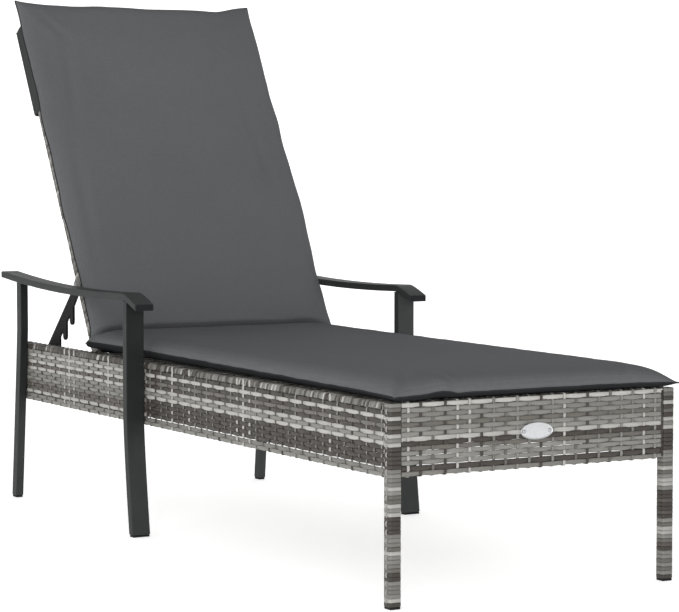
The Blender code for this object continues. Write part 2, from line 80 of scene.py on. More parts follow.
# ---- Sizes read from the frame, and the backrest's own axes ----
POST_LOW, POST_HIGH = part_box("foot_leg_left")
APRON_LOW, APRON_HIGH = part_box("apron_left")
FOOT_LOW, FOOT_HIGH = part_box("apron_foot")
DECK_LOW, DECK_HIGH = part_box("seat_deck")
BADGE_LOW, BADGE_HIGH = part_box("badge")
MID_LEG_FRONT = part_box("mid_leg_left")[0][1]

BED_Y = POST_LOW[1]                       # front of the foot legs
HALF = -POST_LOW[0]                       # outer face of the side aprons
POST = POST_HIGH[0] - POST_LOW[0]
BED_TOP = POST_HIGH[2]
APRON_BOTTOM = APRON_LOW[2]
GAP = 0.0003                              # between CAD parts that touch
SIDES = (("left", -1), ("right", 1))

recline = [joint for joint in frame["joints"] if joint["name"] == "recline"][0]
HINGE = np.array(recline["pos_m"])
RECLINE = math.radians(61.0)
BACK_UP = np.array((0, math.cos(RECLINE), math.sin(RECLINE)))
BACK_OUT = np.array((0, -math.sin(RECLINE), math.cos(RECLINE)))
BACK_FACE = 0.014                         # half the backrest frame's thickness
BACK_LENGTH = 0.7935
HOOD_LENGTH = 0.2050
STILE_WIDTH = 0.018
BACK_HALF = 0.264
LEDGE_REACH = (0.240, 0.332)  # along the backrest, the part that lies on the ledges when flat

X_AXIS = np.array((1.0, 0, 0))
Y_AXIS = np.array((0, 1.0, 0))
Z_AXIS = np.array((0, 0, 1.0))


def back_point(across, along, out):
    """A point in the backrest's own axes, in the row frame."""
    return HINGE + X_AXIS * across + BACK_UP * along + BACK_OUT * out


# ---- Colours, as the eye sees them ----
def linear(*values):
    """Display values from 0 to 255 as linear light."""
    made = []
    for value in values:
        share = value / 255
        made.append(share / 12.92 if share < 0.04045 else ((share + 0.055) / 1.055) ** 2.4)
    return np.array(made)


TONES = {
    "L": linear(166, 164, 159),
    "m": linear(123, 122, 117),
    "s": linear(112, 110, 105),
    "n": linear(97, 94, 88),
    "d": linear(79, 74, 68),
    "D": linear(60, 55, 50),
}


# ---- Materials ----
class Graph:
    """A node material, with short calls for adding and joining its nodes."""

    def __init__(self, name):
        self.material = bpy.data.materials.new(name)
        self.material.use_nodes = True
        self.tree = self.material.node_tree
        self.shader = self.tree.nodes["Principled BSDF"]

    def give(self, socket, value):
        """Links an input to a socket, or sets it to a constant."""
        if isinstance(value, bpy.types.NodeSocket):
            self.tree.links.new(value, socket)
        else:
            socket.default_value = value

    def node(self, kind, links=None, **settings):
        made = self.tree.nodes.new("ShaderNode" + kind)
        for key, value in settings.items():
            setattr(made, key, value)
        for key, value in (links or {}).items():
            self.give(made.inputs[key], value)
        return made

    def shade(self, **links):
        """The shader's inputs, written with _ for a space."""
        for key, value in links.items():
            self.give(self.shader.inputs[key.replace("_", " ")], value)

    def place(self, uv=None, scale=(1, 1, 1)):
        """Coordinates on the piece, or in its UV map, in metres times scale."""
        if uv:
            source = self.node("UVMap", uv_map=uv).outputs["UV"]
        else:
            source = self.node("TexCoord").outputs["Object"]
        return self.node("Mapping", {"Vector": source, "Scale": scale}).outputs["Vector"]

    def noise(self, vector, scale, detail, roughness=0.55):
        return self.node("TexNoise", {"Vector": vector, "Scale": scale, "Detail": detail,
                                      "Roughness": roughness}).outputs["Fac"]

    def span(self, value, low, high, out_low, out_high):
        return self.node("MapRange", {"Value": value, "From Min": low, "From Max": high,
                                      "To Min": out_low, "To Max": out_high}).outputs["Result"]

    def vary(self, noise, low, high):
        """From low to high as a noise goes through its usual range."""
        return self.span(noise, 0.3, 0.7, low, high)

    def math(self, operation, a, b=0.0):
        return self.node("Math", {0: a, 1: b}, operation=operation).outputs[0]

    def times(self, a, b):
        return self.math("MULTIPLY", a, b)

    def scaled(self, colour, factor):
        """A colour made lighter or darker by a factor."""
        made = self.node("VectorMath", {0: colour, "Scale": factor}, operation="SCALE")
        return made.outputs["Vector"]

    def mix(self, factor, first, second):
        made = self.node("Mix", data_type="RGBA")
        sockets = [s for s in made.inputs if s.enabled]
        for socket, value in zip(sockets, (factor, first, second)):
            self.give(socket, value)
        return [s for s in made.outputs if s.enabled][0]

    def bump(self, height, strength, distance):
        return self.node("Bump", {"Height": height, "Strength": strength,
                                  "Distance": distance}).outputs["Normal"]


def rattan_material():
    """Extruded plastic strand: fine grooves along it, a worn sheen, and painted shade along its
    edges.
    """
    g = Graph("rattan_strand")
    colour = g.node("Attribute", attribute_name="strand_colour").outputs["Color"]
    grooves = g.noise(g.place("strand_uv", (30, 900, 1)), 1.0, 4.0, 0.6)
    blotch = g.noise(g.place("strand_uv", (22, 60, 1)), 1.0, 3.0)
    fine = g.noise(g.place("strand_uv", (400, 2200, 1)), 1.0, 2.0)
    across = g.node("SeparateXYZ", {"Vector": g.place("strand_uv")}).outputs["Y"]
    # Painted shade: each strand's colour is darker towards its edges, where it meets its
    # neighbours.
    edge = g.span(g.math("ABSOLUTE", across), 0.0022, 0.0035, 1.0, 0.60)
    shade = g.times(g.times(g.vary(grooves, 0.86, 1.10), g.vary(blotch, 0.92, 1.07)), edge)
    g.shade(Base_Color=g.scaled(colour, shade),
            Roughness=g.vary(blotch, 0.42, 0.60),
            Normal=g.bump(g.math("ADD", grooves, g.times(fine, 0.35)), 0.35, 0.0004),
            Specular_IOR_Level=0.35)
    return g.material


def cloth_material(name, colour):
    """Woven polyester: fine crossed threads, slubs and soft fading."""
    g = Graph(name)
    threads = {"Vector": g.place("cloth_uv"), "Scale": 62.5, "Distortion": 0.6, "Detail": 1.0,
               "Detail Scale": 2.0}
    weave = g.times(*[g.node("TexWave", threads, bands_direction=axis).outputs["Fac"]
                      for axis in "XY"])
    slub = g.noise(g.place("cloth_uv", (60, 700, 1)), 1.0, 2.0)
    slub_down = g.noise(g.place("cloth_uv", (700, 60, 1)), 1.0, 2.0)
    cloud = g.noise(g.place("cloth_uv", (3, 3, 1)), 1.0, 4.0)
    shade = g.times(g.span(weave, 0.0, 1.0, 0.94, 1.035),
                    g.span(g.math("ADD", slub, slub_down), 0.7, 1.3, 0.95, 1.05))
    g.shade(Base_Color=g.scaled(tuple(colour), g.times(shade, g.vary(cloud, 0.955, 1.04))),
            Roughness=g.vary(cloud, 0.86, 0.95),
            Normal=g.bump(g.math("ADD", weave, g.times(slub, 0.5)), 0.30, 0.0004),
            Specular_IOR_Level=0.03)
    return g.material


def coated_material(name, colour, roughness=0.52, grain=900.0, depth=0.00012, above=1.0):
    """Powder-coated steel: orange-peel skin, uneven gloss and a few rubbed places.

    From the height of the aprons' lower edge upwards, the colour is multiplied by above, which
    paints shade where above is below 1.
    """
    g = Graph(name)
    place = g.place()
    peel = g.noise(place, grain, 2.0)
    patch = g.noise(place, 14.0, 4.0)
    worn = g.span(g.noise(g.place(scale=(60, 12, 60)), 1.0, 5.0, 0.7), 0.62, 0.80, 0.0, 1.0)
    rubbed = (*[value * 1.8 + 0.008 for value in colour], 1.0)
    height = g.node("SeparateXYZ", {"Vector": place}).outputs["Z"]
    # Painted shade: with above below 1, the colour is darker from the aprons' lower edge upwards.
    shade = g.times(g.vary(patch, 0.88, 1.12), g.span(height, 0.16, 0.23, 1.0, above))
    gloss = g.vary(patch, roughness - 0.05, roughness + 0.08)
    g.shade(Base_Color=g.mix(g.times(worn, 0.35), g.scaled(tuple(colour), shade), rubbed),
            Roughness=g.math("SUBTRACT", gloss, g.times(worn, 0.08)),
            Normal=g.bump(peel, 0.25, depth),
            Specular_IOR_Level=0.10)
    return g.material


def brushed_material(name, colour, roughness):
    """Bare metal with fine brushing and dull spots."""
    g = Graph(name)
    brushing = g.noise(g.place(scale=(60, 2500, 2500)), 1.0, 3.0)
    spots = g.noise(g.place(), 160.0, 4.0)
    gloss = g.vary(brushing, roughness - 0.07, roughness + 0.07)
    g.shade(Base_Color=g.scaled(tuple(colour), g.vary(spots, 0.94, 1.03)),
            Roughness=g.math("ADD", gloss, g.times(spots, 0.08)),
            Normal=g.bump(brushing, 0.15, 0.0001),
            Metallic=0.9)
    return g.material


def floor_material():
    g = Graph("floor")
    speck = g.noise(g.place(), 4.0, 3.0)
    g.shade(Base_Color=g.scaled((0.96, 0.96, 0.96), g.vary(speck, 0.995, 1.0)), Roughness=0.9,
            Specular_IOR_Level=0.1, Emission_Color=(1, 1, 1, 1), Emission_Strength=0.52)
    return g.material


RATTAN = rattan_material()
CLOTH = cloth_material("cushion_cloth_woven", linear(95, 96, 98))
WELT = cloth_material("cushion_welt", linear(46, 47, 48))
# Painted shade: the cushion's underside sheet is much darker than its top.
UNDER_CLOTH_PAINTED_SHADE = cloth_material("cushion_underside_painted_shade", linear(36, 37, 38))
HOOD_CLOTH = cloth_material("hood_cloth_woven", linear(61, 63, 62))
COATED = coated_material("powder_coat", linear(51, 53, 53))
# Copies of the powder coat for the legs' front faces: painted shade on the left, darker above the
# aprons' lower edge, and painted light on the right, a lighter colour.
COATED_LEFT_PAINTED_SHADE = coated_material("powder_coat_left_leg", linear(52, 54, 54), above=0.50)
COATED_RIGHT_PAINTED_LIGHT = coated_material("powder_coat_right_leg", linear(62, 64, 64))
FRAME_COAT = coated_material("frame_coat", linear(20, 20, 20))
ZINC = brushed_material("zinc", linear(176, 178, 180), 0.34)
BADGE_METAL = brushed_material("badge_satin", linear(205, 206, 208), 0.38)
GLIDE = coated_material("glide_plastic_moulded", linear(34, 34, 36), 0.55, 500.0, 0.0002)


# ---- Making pieces ----
def new_piece(name, mesh, *materials):
    for material in materials:
        mesh.materials.append(material)
    piece = bpy.data.objects.new(name, mesh)
    bpy.context.scene.collection.objects.link(piece)
    return piece


def shaped_piece(name, shape, *materials):
    """A piece from a bmesh, which is freed."""
    mesh = bpy.data.meshes.new(name)
    shape.to_mesh(mesh)
    shape.free()
    return new_piece(name, mesh, *materials)


def stand_in(piece, node, body):
    """Puts a piece in a CAD part's place: what it replaces and its body."""
    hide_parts(node)
    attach(piece, body)


def coordinates(mesh):
    points = np.empty(len(mesh.vertices) * 3)
    mesh.vertices.foreach_get("co", points)
    return points.reshape(-1, 3)


def move_points(mesh, points):
    mesh.vertices.foreach_set("co", points.astype(np.float32).ravel())
    mesh.update()


def bake(piece):
    """Leaves the piece's mesh as its modifiers make it."""
    bpy.context.view_layer.update()
    graph = bpy.context.evaluated_depsgraph_get()
    final = bpy.data.meshes.new_from_object(piece.evaluated_get(graph), depsgraph=graph)
    piece.modifiers.clear()
    piece.data = final


# ---- Strands ----
# Cross sections of a strand, as shares of its width and thickness.
ROUNDED = np.array([(-.5, 0), (-.40, .42), (0, .52), (.40, .42),
                    (.5, 0), (.40, -.42), (0, -.5), (-.40, -.42)])
PLAIN = np.array([(-.5, 0), (-.34, .5), (.34, .5), (.5, 0), (.34, -.5), (-.34, -.5)])
UV_WIDTH = 0.007             # of every strand in the UV map
CAPS = {8: ((0, 1, 2, 7), (7, 2, 3, 6), (6, 3, 4, 5)), 6: ((0, 1, 2, 5), (5, 2, 3, 4))}


def unit(vectors):
    return vectors / np.maximum(np.linalg.norm(vectors, axis=1, keepdims=True), 1e-12)


class Strands:
    """Flat strands swept along paths, gathered into one mesh."""

    def __init__(self, section=ROUNDED, seed=1, shade=1.0):
        self.section, self.shade = section, shade
        self.points, self.quads, self.uvs, self.colours = [], [], [], []
        self.count = 0
        self.random = random.Random(seed)

    def add(self, path, out, width, thickness, colour, cyclic=False):
        """A strand along path, its flat face towards out. Colour is one or one per point."""
        path = np.asarray(path, float)
        number, ring = len(path), len(self.section)
        out = np.broadcast_to(np.asarray(out, float), path.shape)
        if cyclic:
            tangent = unit(np.roll(path, -1, 0) - np.roll(path, 1, 0))
        else:
            tangent = unit(np.gradient(path, axis=0))
        side = unit(np.cross(tangent, out))
        out = np.cross(side, tangent)
        width = np.broadcast_to(np.asarray(width, float), (number,))
        across = side[:, None, :] * (self.section[None, :, 0, None] * width[:, None, None])
        depth = out[:, None, :] * (self.section[None, :, 1, None] * thickness)
        self.points.append((path[:, None, :] + across + depth).reshape(-1, 3))
        steps = number if cyclic else number - 1
        first = np.arange(steps)[:, None] * ring
        after = (np.arange(steps)[:, None] + 1) % number * ring
        here = np.arange(ring)[None, :]
        there = (here + 1) % ring
        faces = np.stack([first + here, first + there, after + there, after + here], -1)
        faces = faces.reshape(-1, 4)
        length = np.concatenate([[0], np.cumsum(np.linalg.norm(np.diff(path, axis=0), axis=1))])
        start = self.random.uniform(0, 40)
        u_here = np.broadcast_to(length[:steps, None], (steps, ring)) + start
        u_next = u_here + (np.linalg.norm(np.roll(path, -1, 0) - path, axis=1)[:steps, None])
        v_here = np.broadcast_to(self.section[None, :, 0] * UV_WIDTH, (steps, ring))
        v_there = np.roll(v_here, -1, 1)
        uv = np.stack([np.stack([u_here, v_here], -1), np.stack([u_here, v_there], -1),
                       np.stack([u_next, v_there], -1), np.stack([u_next, v_here], -1)], 2)
        uv = uv.reshape(-1, 4, 2)
        if not cyclic:
            caps = np.array(CAPS[ring])
            last = (number - 1) * ring
            faces = np.concatenate([faces, caps[:, ::-1], caps + last])
            uv = np.concatenate([uv, np.full((2 * len(caps), 4, 2), start)])
        self.quads.append(faces + self.count)
        self.uvs.append(uv)
        colour = np.broadcast_to(np.asarray(colour, float), (number, 3))
        self.colours.append(np.repeat(colour, ring, axis=0))
        self.count += number * ring

    def finish(self, name, material):
        points = np.concatenate(self.points)
        quads = np.concatenate(self.quads)
        made = bpy.data.meshes.new(name)
        made.vertices.add(len(points))
        made.vertices.foreach_set("co", points.astype(np.float32).ravel())
        made.loops.add(quads.size)
        made.loops.foreach_set("vertex_index", quads.astype(np.int32).ravel())
        made.polygons.add(len(quads))
        made.polygons.foreach_set("loop_start", np.arange(0, quads.size, 4, dtype=np.int32))
        made.polygons.foreach_set("use_smooth", np.full(len(quads), True))
        made.update(calc_edges=True)
        layer = made.uv_layers.new(name="strand_uv")
        layer.data.foreach_set("uv", np.concatenate(self.uvs).astype(np.float32).ravel())
        tint = made.color_attributes.new("strand_colour", "FLOAT_COLOR", "POINT")
        colours = np.concatenate(self.colours)
        colours = np.concatenate([colours, np.ones((len(colours), 1))], axis=1)
        tint.data.foreach_set("color", colours.astype(np.float32).ravel())
        return new_piece(name, made, material)

    def finish_fabric(self, name, material):
        """A strip of fabric, whose material looks for the fabric's UV map."""
        made = self.finish(name, material)
        made.data.uv_layers["strand_uv"].name = "cloth_uv"
        return made

    def tint(self, tone, spread=0.06):
        """A tone with this strand's own small difference in lightness, times the set's shade,
        which paints shade where it is below 1.
        """
        return TONES[tone] * self.shade * (1 + self.random.uniform(-spread, spread))


WARP_WIDTH = 0.0068 * 0.94
THICK = 0.0012               # of a strand
LIFT = 0.00085               # how far a strand leans out where it passes over another
DRIFT = 0.00012              # how far a weft strays from its row
SWELL = 0.05                 # share by which a weft is wider where it is on top
BEND = 0.0016                # radius at which a warp folds in over a rail
LOOP = 0.0071                # pitch of the loops round posts, legs and stiles


def weave_wave(phase):
    return math.tanh(2.3 * math.cos(phase)) / math.tanh(2.3)


class Panel:
    """A plain weave on a flat panel: wefts run along it, warps run up it."""

    def __init__(self, strands, origin, along, up, out, length, rows, first, pitch=0.0268,
                 samples=7, turn=0):
        """Rows are (height, width) of each weft, and first is the first warp's place."""
        self.strands, self.origin = strands, np.array(origin, float)
        self.along, self.up, self.out = along, up, out
        self.length, self.rows, self.pitch = length, rows, pitch
        self.samples, self.first, self.turn = samples, first, turn
        self.warps = int((length - 0.004 - first) / pitch) + 1

    def at(self, s, z, o):
        s, z, o = np.broadcast_arrays(np.asarray(s, float), z, o)
        return (self.origin + s[:, None] * self.along + z[:, None] * self.up
                + o[:, None] * self.out)

    def weft(self, row, colours):
        """Row by number. Colours is a list of (end of this colour along the panel, tone)."""
        count = int(round(self.length / self.pitch * self.samples))
        s = np.linspace(0.0, self.length, count + 1)
        wave = np.array([weave_wave(((x - self.first) / self.pitch + row + self.turn) * math.pi)
                         for x in s])
        centre, width = self.rows[row]
        wobble = self.strands.random.uniform(0, 6.28)
        drift = DRIFT * np.sin(s * 23 + wobble) + DRIFT * np.sin(s * 61 + 2 * wobble)
        tints = [(stop, self.strands.tint(tone)) for stop, tone in colours]
        colour = np.array([next(t for stop, t in tints if x <= stop) for x in s])
        self.strands.add(self.at(s, centre + drift, LIFT * wave), self.out,
                         width * (1 + SWELL * wave), THICK, colour)

    def row_at(self, z):
        """Which row each height is in, as a number with a fraction."""
        centres = np.array([c for c, _ in self.rows])
        order = np.argsort(centres)
        step = abs(centres[1] - centres[0])
        where = np.interp(z, centres[order], order)
        past_top = order[-1] + (z - centres.max()) / step * (order[-1] - order[-2])
        past_end = order[0] - (centres.min() - z) / step * (order[1] - order[0])
        where = np.where(z > centres.max(), past_top, where)
        return np.where(z < centres.min(), past_end, where)

    def warp(self, number, tone, low, high, width=WARP_WIDTH, over=0.0, under=0.0, steps=4,
             rim=None):
        """Warp by number, from low to high, folded in by over and under at its ends.

        Above the first value of rim, the warp lies flat at the second one.
        """
        s = self.first + number * self.pitch
        count = max(4, int((high - low) / (self.rows[0][1]) * steps))
        z = np.linspace(low, high, count + 1)
        lift = -LIFT * np.array([weave_wave(math.pi * (number + w + self.turn))
                                 for w in self.row_at(z)])
        if rim:
            above = np.clip((z - rim[0]) / 0.004, 0, 1)
            lift = lift * (1 - above) + rim[1] * above
        path = list(self.at(np.full(len(z), s), z, lift))
        facing = [self.out] * len(path)
        for index, end, sign, folded in ((-1, high, 1, over), (0, low, -1, under)):
            for angle, reach in ((45, 0), (90, 0), (90, folded)) if folded else ():
                a = math.radians(angle)
                o = lift[index] - BEND * (1 - math.cos(a)) - reach
                place = len(path) if index else 0
                path.insert(place, self.at([s], end + sign * BEND * math.sin(a), o)[0])
                facing.insert(place, self.out * math.cos(a) + sign * self.up * math.sin(a))
        self.strands.add(np.array(path), np.array(facing), width, THICK, self.strands.tint(tone))


def ring_path(depth, height, radius, steps=3):
    """A rounded rectangle about the origin and its outward directions, in two axes."""
    points, facing = [], []
    for quarter, (sx, sy) in enumerate(((1, 1), (-1, 1), (-1, -1), (1, -1))):
        for step in range(steps + 1):
            angle = math.radians(90 * quarter + 90 * step / steps)
            points.append((sx * (depth / 2 - radius) + radius * math.cos(angle),
                           sy * (height / 2 - radius) + radius * math.sin(angle)))
            facing.append((math.cos(angle), math.sin(angle)))
    return np.array(points), np.array(facing)


def wrapped_bar(strands, start, end, first, second, depth, height, tones, pitch=LOOP,
                radius=0.0028, snug=(0, 0)):
    """Closed loops of strand side by side round a square bar. Tones is one letter a loop.

    Between the two lengths of snug the loops are pulled tight.
    """
    start, end = np.array(start, float), np.array(end, float)
    length = np.linalg.norm(end - start)
    along = (end - start) / length
    count = int(round(length / pitch))
    step = length / count
    flat, facing = ring_path(depth - THICK, height - THICK, radius)
    normals = facing[:, :1] * first + facing[:, 1:] * second
    turn = np.sin(np.linspace(0, 2 * math.pi, len(flat), endpoint=False))
    for number in range(count):
        shift = step * (number + 0.5) + 0.0004 * turn * strands.random.uniform(0.4, 1.2)
        bulge = strands.random.uniform(-0.00012, 0.00018)
        if snug[0] < step * (number + 0.5) < snug[1]:
            bulge = -0.0009
        path = (start + shift[:, None] * along + flat[:, :1] * first + flat[:, 1:] * second
                + normals * bulge)
        strands.add(path, normals, 0.0074 * step / pitch, THICK,
                    strands.tint(tones[number % len(tones)]), cyclic=True)


def helix_wrap(strands, origin, along, first, second, length, depth, height, tones, pitch,
               width=0.0064, lead=1, change=math.inf, later=""):
    """Strands wound round a rail, each moving along it by lead pitches in a turn.

    The turns join on the face towards first, the rail's hidden side. From the length change
    on, the tones are those of later.
    """
    flat, facing = ring_path(depth - THICK, height - THICK, 0.003, 2)
    normals = facing[:, :1] * first + facing[:, 1:] * second
    count = int(length / pitch)
    share = np.linspace(0, 1, len(flat) + 1)[:-1]
    for number in range(count):
        shift = pitch * (number + lead * share)
        keep = shift < length
        path = (np.array(origin, float) + shift[:, None] * along + flat[:, :1] * first
                + flat[:, 1:] * second + normals * strands.random.uniform(-0.0001, 0.0005))
        if keep.all():
            choices = tones if pitch * number < change else later
            strands.add(path, normals, width, THICK,
                        strands.tint(strands.random.choice(choices), 0.10))


# ---- Woven aprons, deck and backrest panel ----
RIM = 0.0131                 # height of the wrapped top rail
ROW = 0.0072                 # of the side aprons
SIDE_PITCH, FOOT_PITCH = 0.0246, 0.0240   # from warp to warp
APRON_HEIGHT = BED_TOP - APRON_BOTTOM
FOOT_SIDE = "DLDnDLmLDDDDDsm"             # side apron's rows from the top, foot end
HEAD_SIDE = "mLmLdLmsmnddLsm"             # and head end
FOOT_ROWS = "LmsmnmmLDnmmmDs"
FOLDED = 0.014               # length of a warp's end under the apron
SIDE_LIGHT = {7, 19, 20, 21, 29, 32, 44, 51, 52, 53}         # warps by number
SIDE_DARK = {4, 10, 14, 16, 24, 35, 37, 40, 46, 48, 55, 58}
SIDE_WARP_WIDTHS = {"L": 0.0078, "D": 0.0050}                # any other: 0.0044
LEG_TONES = {"left": "ssLmnnLmLDDDDsmsnLmmsnDDmssmLD",
             "right": "mnLnmLLmDDdDDdDmnLLmndDmmnmnmD"}
STILE_TONES = "smDsnmDsLmDsnDmsmDdsmDnsmLDs"


def warp_tone(number, light, dark, others):
    return "L" if number in light else "D" if number in dark else others[number % len(others)]


def close_underside(strands, corner, along, inward, length, count):
    """Two strands along an apron's underside, over its bottom rail."""
    for depth in (0.0055, 0.0128):
        path = np.array([corner + inward * depth + along * s
                         for s in np.linspace(0, length, count)])
        strands.add(path, -Z_AXIS, 0.0072, THICK, strands.tint("s"))


def side_apron(side, sign):
    strands = Strands(seed=11 if side == "left" else 12)
    out = X_AXIS * sign
    start, length = APRON_LOW[1], APRON_HIGH[1] - APRON_LOW[1]
    rows = [(APRON_HEIGHT - RIM - ROW * (i + 0.5) + 0.0003 * (i / 12), ROW * 1.06)
            for i in range(13)]
    rows += [(0.0110, 0.0080), (0.0040, 0.0074)]
    panel = Panel(strands, (sign * (HALF - 0.0016), start, APRON_BOTTOM), Y_AXIS, Z_AXIS, out,
                  length, rows, 0.0064, SIDE_PITCH, turn=1)
    change = MID_LEG_FRONT + 0.02 - start      # the tones change behind the mid leg
    for row, (foot_tone, head_tone) in enumerate(zip(FOOT_SIDE, HEAD_SIDE)):
        panel.weft(row, [(change, foot_tone), (length + 1, head_tone)])
    # Painted shade: a dark strand behind the weave, in a gap between the lower rows, from behind
    # the mid leg to the head end.
    path = np.array([(sign * (HALF - 0.0034), y, APRON_BOTTOM + 0.0155)
                     for y in np.linspace(start + change, start + length, 30)])
    strands.add(path, out, 0.0050, 0.0008, strands.tint("D"))
    for number in range(panel.warps):
        tone = warp_tone(number, SIDE_LIGHT, SIDE_DARK, "msmn")
        panel.warp(number, tone, 0.0012, APRON_HEIGHT - 0.0020, over=0.017, under=FOLDED,
                   width=SIDE_WARP_WIDTHS.get(tone, 0.0044),
                   rim=(APRON_HEIGHT - RIM, 0.0007 if tone == "L" else -0.0015))
    helix_wrap(strands, (sign * (HALF - POST / 2), start, BED_TOP - RIM / 2 - 0.0004), Y_AXIS,
               -out, Z_AXIS, length, POST - 0.0030, RIM - 0.0006, "nsDmDdsnDmDsddsmL",
               pitch=0.0060, width=0.0058, lead=4, change=change, later="DdDnDdDDmDDdsDDdLD")
    close_underside(strands, np.array((sign * HALF, start, APRON_BOTTOM + 0.0026)), Y_AXIS,
                    -out, length, 30)
    stand_in(strands.finish(f"woven_apron_{side}", RATTAN), f"apron_{side}",
             "bed")


def foot_apron():
    strands = Strands(seed=21)
    start, length = FOOT_LOW[0] + 0.001, FOOT_HIGH[0] - FOOT_LOW[0] - 0.002
    front = FOOT_LOW[1]
    rows = [(0.1182, 0.0078)]
    rows += [(0.1096 - 0.0079 * i, 0.0083 if i < 8 else 0.0078 if i != 9 else 0.0074)
             for i in range(12)]
    rows += [(0.0133, 0.0093), (0.0046, 0.0080)]
    panel = Panel(strands, (start, front + 0.0016, APRON_BOTTOM), X_AXIS, Z_AXIS, -Y_AXIS,
                  length, rows, 0.0130, FOOT_PITCH)
    for row, tone in enumerate(FOOT_ROWS):
        panel.weft(row, [(length + 1, tone)])
    for number in range(panel.warps):
        tone = warp_tone(number, {0, 4, 5, 13, 20}, {1, 3, 6, 11, 15}, "msn")
        panel.warp(number, tone, 0.0012, APRON_HEIGHT - 0.0010, over=0.016, under=FOLDED,
                   width=0.0056)
    middle_y = (front + FOOT_HIGH[1]) / 2 + 0.001
    helix_wrap(strands, (start, middle_y, BED_TOP - 0.0075), X_AXIS, Y_AXIS, Z_AXIS, length,
               0.0165, 0.0122, "smnmd", pitch=0.0090)
    close_underside(strands, np.array((start, front, APRON_BOTTOM + 0.0026)), X_AXIS, Y_AXIS,
                    length, 16)
    # Painted shade: a dark strand along the apron's right end, for the shadow gap next to the leg.
    strands.add([(start + length - 0.0016, front + 0.0004, APRON_BOTTOM + rise)
                 for rise in (0.004, 0.060, APRON_HEIGHT - 0.004)], -Y_AXIS, 0.0034, 0.0012,
                strands.tint("D"))
    stand_in(strands.finish("woven_apron_foot", RATTAN), "apron_foot", "bed")


def flat_weave(name, node, origin, along, up, out, length, height, seed, body, row=0.0086):
    """A large woven panel, seen mostly from behind or below."""
    strands = Strands(PLAIN, seed)
    count = int(height / row)
    step = height / count
    rows = [(step * (i + 0.5), step * 0.93) for i in range(count)]
    panel = Panel(strands, origin, along, up, out, length, rows, 0.012, samples=4)
    tones = "msmnmsLmsdmnsmdsmLnmds"
    for number in range(count):
        panel.weft(number, [(length + 1, tones[number % len(tones)])])
    for number in range(panel.warps):
        panel.warp(number, "msndLmd"[number % 7], 0.002, height - 0.002, steps=2)
    stand_in(strands.finish(name, RATTAN), node, body)


def edge_lift(lengths, height):
    """How far a strand that crosses the loops' edges stands out, along those lengths."""
    return height * np.array([math.tanh(2 * math.cos(s / LOOP * math.pi)) for s in lengths])


def corner_posts():
    """The foot legs' and head posts' wraps, which carry on the side aprons' rows."""
    core = POST - 0.0026
    for side, sign in SIDES:
        # Painted shade: the foot-leg wraps' tones are darkened, the right one more than the left.
        strands = Strands(seed=31 if sign < 0 else 32, shade=0.89 if sign < 0 else 0.85)
        low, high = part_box(f"foot_leg_{side}")
        x, y = (low[0] + high[0]) / 2, (low[1] + high[1]) / 2
        top, foot, upper = high[2] - 0.0003, low[2], APRON_BOTTOM - 0.0005
        tones = "mn" + FOOT_SIDE
        wrapped_bar(strands, (x, y, top), (x, y, upper), X_AXIS, Y_AXIS, POST, POST, tones,
                    pitch=(top - upper) / len(tones))
        wrapped_bar(strands, (x, y, upper), (x, y, foot), X_AXIS, Y_AXIS, POST, POST,
                    LEG_TONES[side])
        rows = np.arange(foot + 0.003, top - 0.002, LOOP / 4)
        path = np.stack([x + sign * (POST / 2 - 0.0002 + edge_lift(rows, 0.0010)),
                         np.full(len(rows), y + 0.001), rows], 1)
        strands.add(path, X_AXIS * sign, 0.0042, 0.0010, strands.tint("L"))
        strands.add([(x, y, foot + 0.0005), (x, y, top - 0.0012)], -Y_AXIS, core, core,
                    strands.tint("d"))
        stand_in(strands.finish(f"leg_wrap_{side}", RATTAN), f"foot_leg_{side}",
                 "bed")

        strands = Strands(seed=33 if sign < 0 else 34)
        low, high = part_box(f"head_post_{side}")
        y = (low[1] + high[1]) / 2
        tones = "mn" + HEAD_SIDE
        wrapped_bar(strands, (x, y, high[2] - 0.0003), (x, y, low[2]), X_AXIS, Y_AXIS, POST,
                    POST, tones, pitch=(high[2] - low[2]) / len(tones))
        strands.add([(x, y, low[2] + 0.0008), (x, y, high[2] - 0.0012)], -Y_AXIS, core, core,
                    strands.tint("d"))
        stand_in(strands.finish(f"head_post_wrap_{side}", RATTAN), f"head_post_{side}",
                 "bed")


def wrapped_cross_rails():
    for node, seed in (("seat_end_rail", 41), ("head_rail", 42)):
        low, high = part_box(node)
        strands = Strands(PLAIN, seed)
        y, z = (low[1] + high[1]) / 2, (low[2] + high[2]) / 2
        wrapped_bar(strands, (low[0], y, z), (high[0], y, z), Y_AXIS, Z_AXIS, high[1] - low[1],
                    high[2] - low[2], "smnmdsLmsndm")
        strands.add([(low[0] + 0.001, y, z), (high[0] - 0.001, y, z)], Z_AXIS,
                    high[1] - low[1] - 0.003, high[2] - low[2] - 0.003, strands.tint("d"))
        stand_in(strands.finish(f"{node}_wrap", RATTAN), node, "bed")


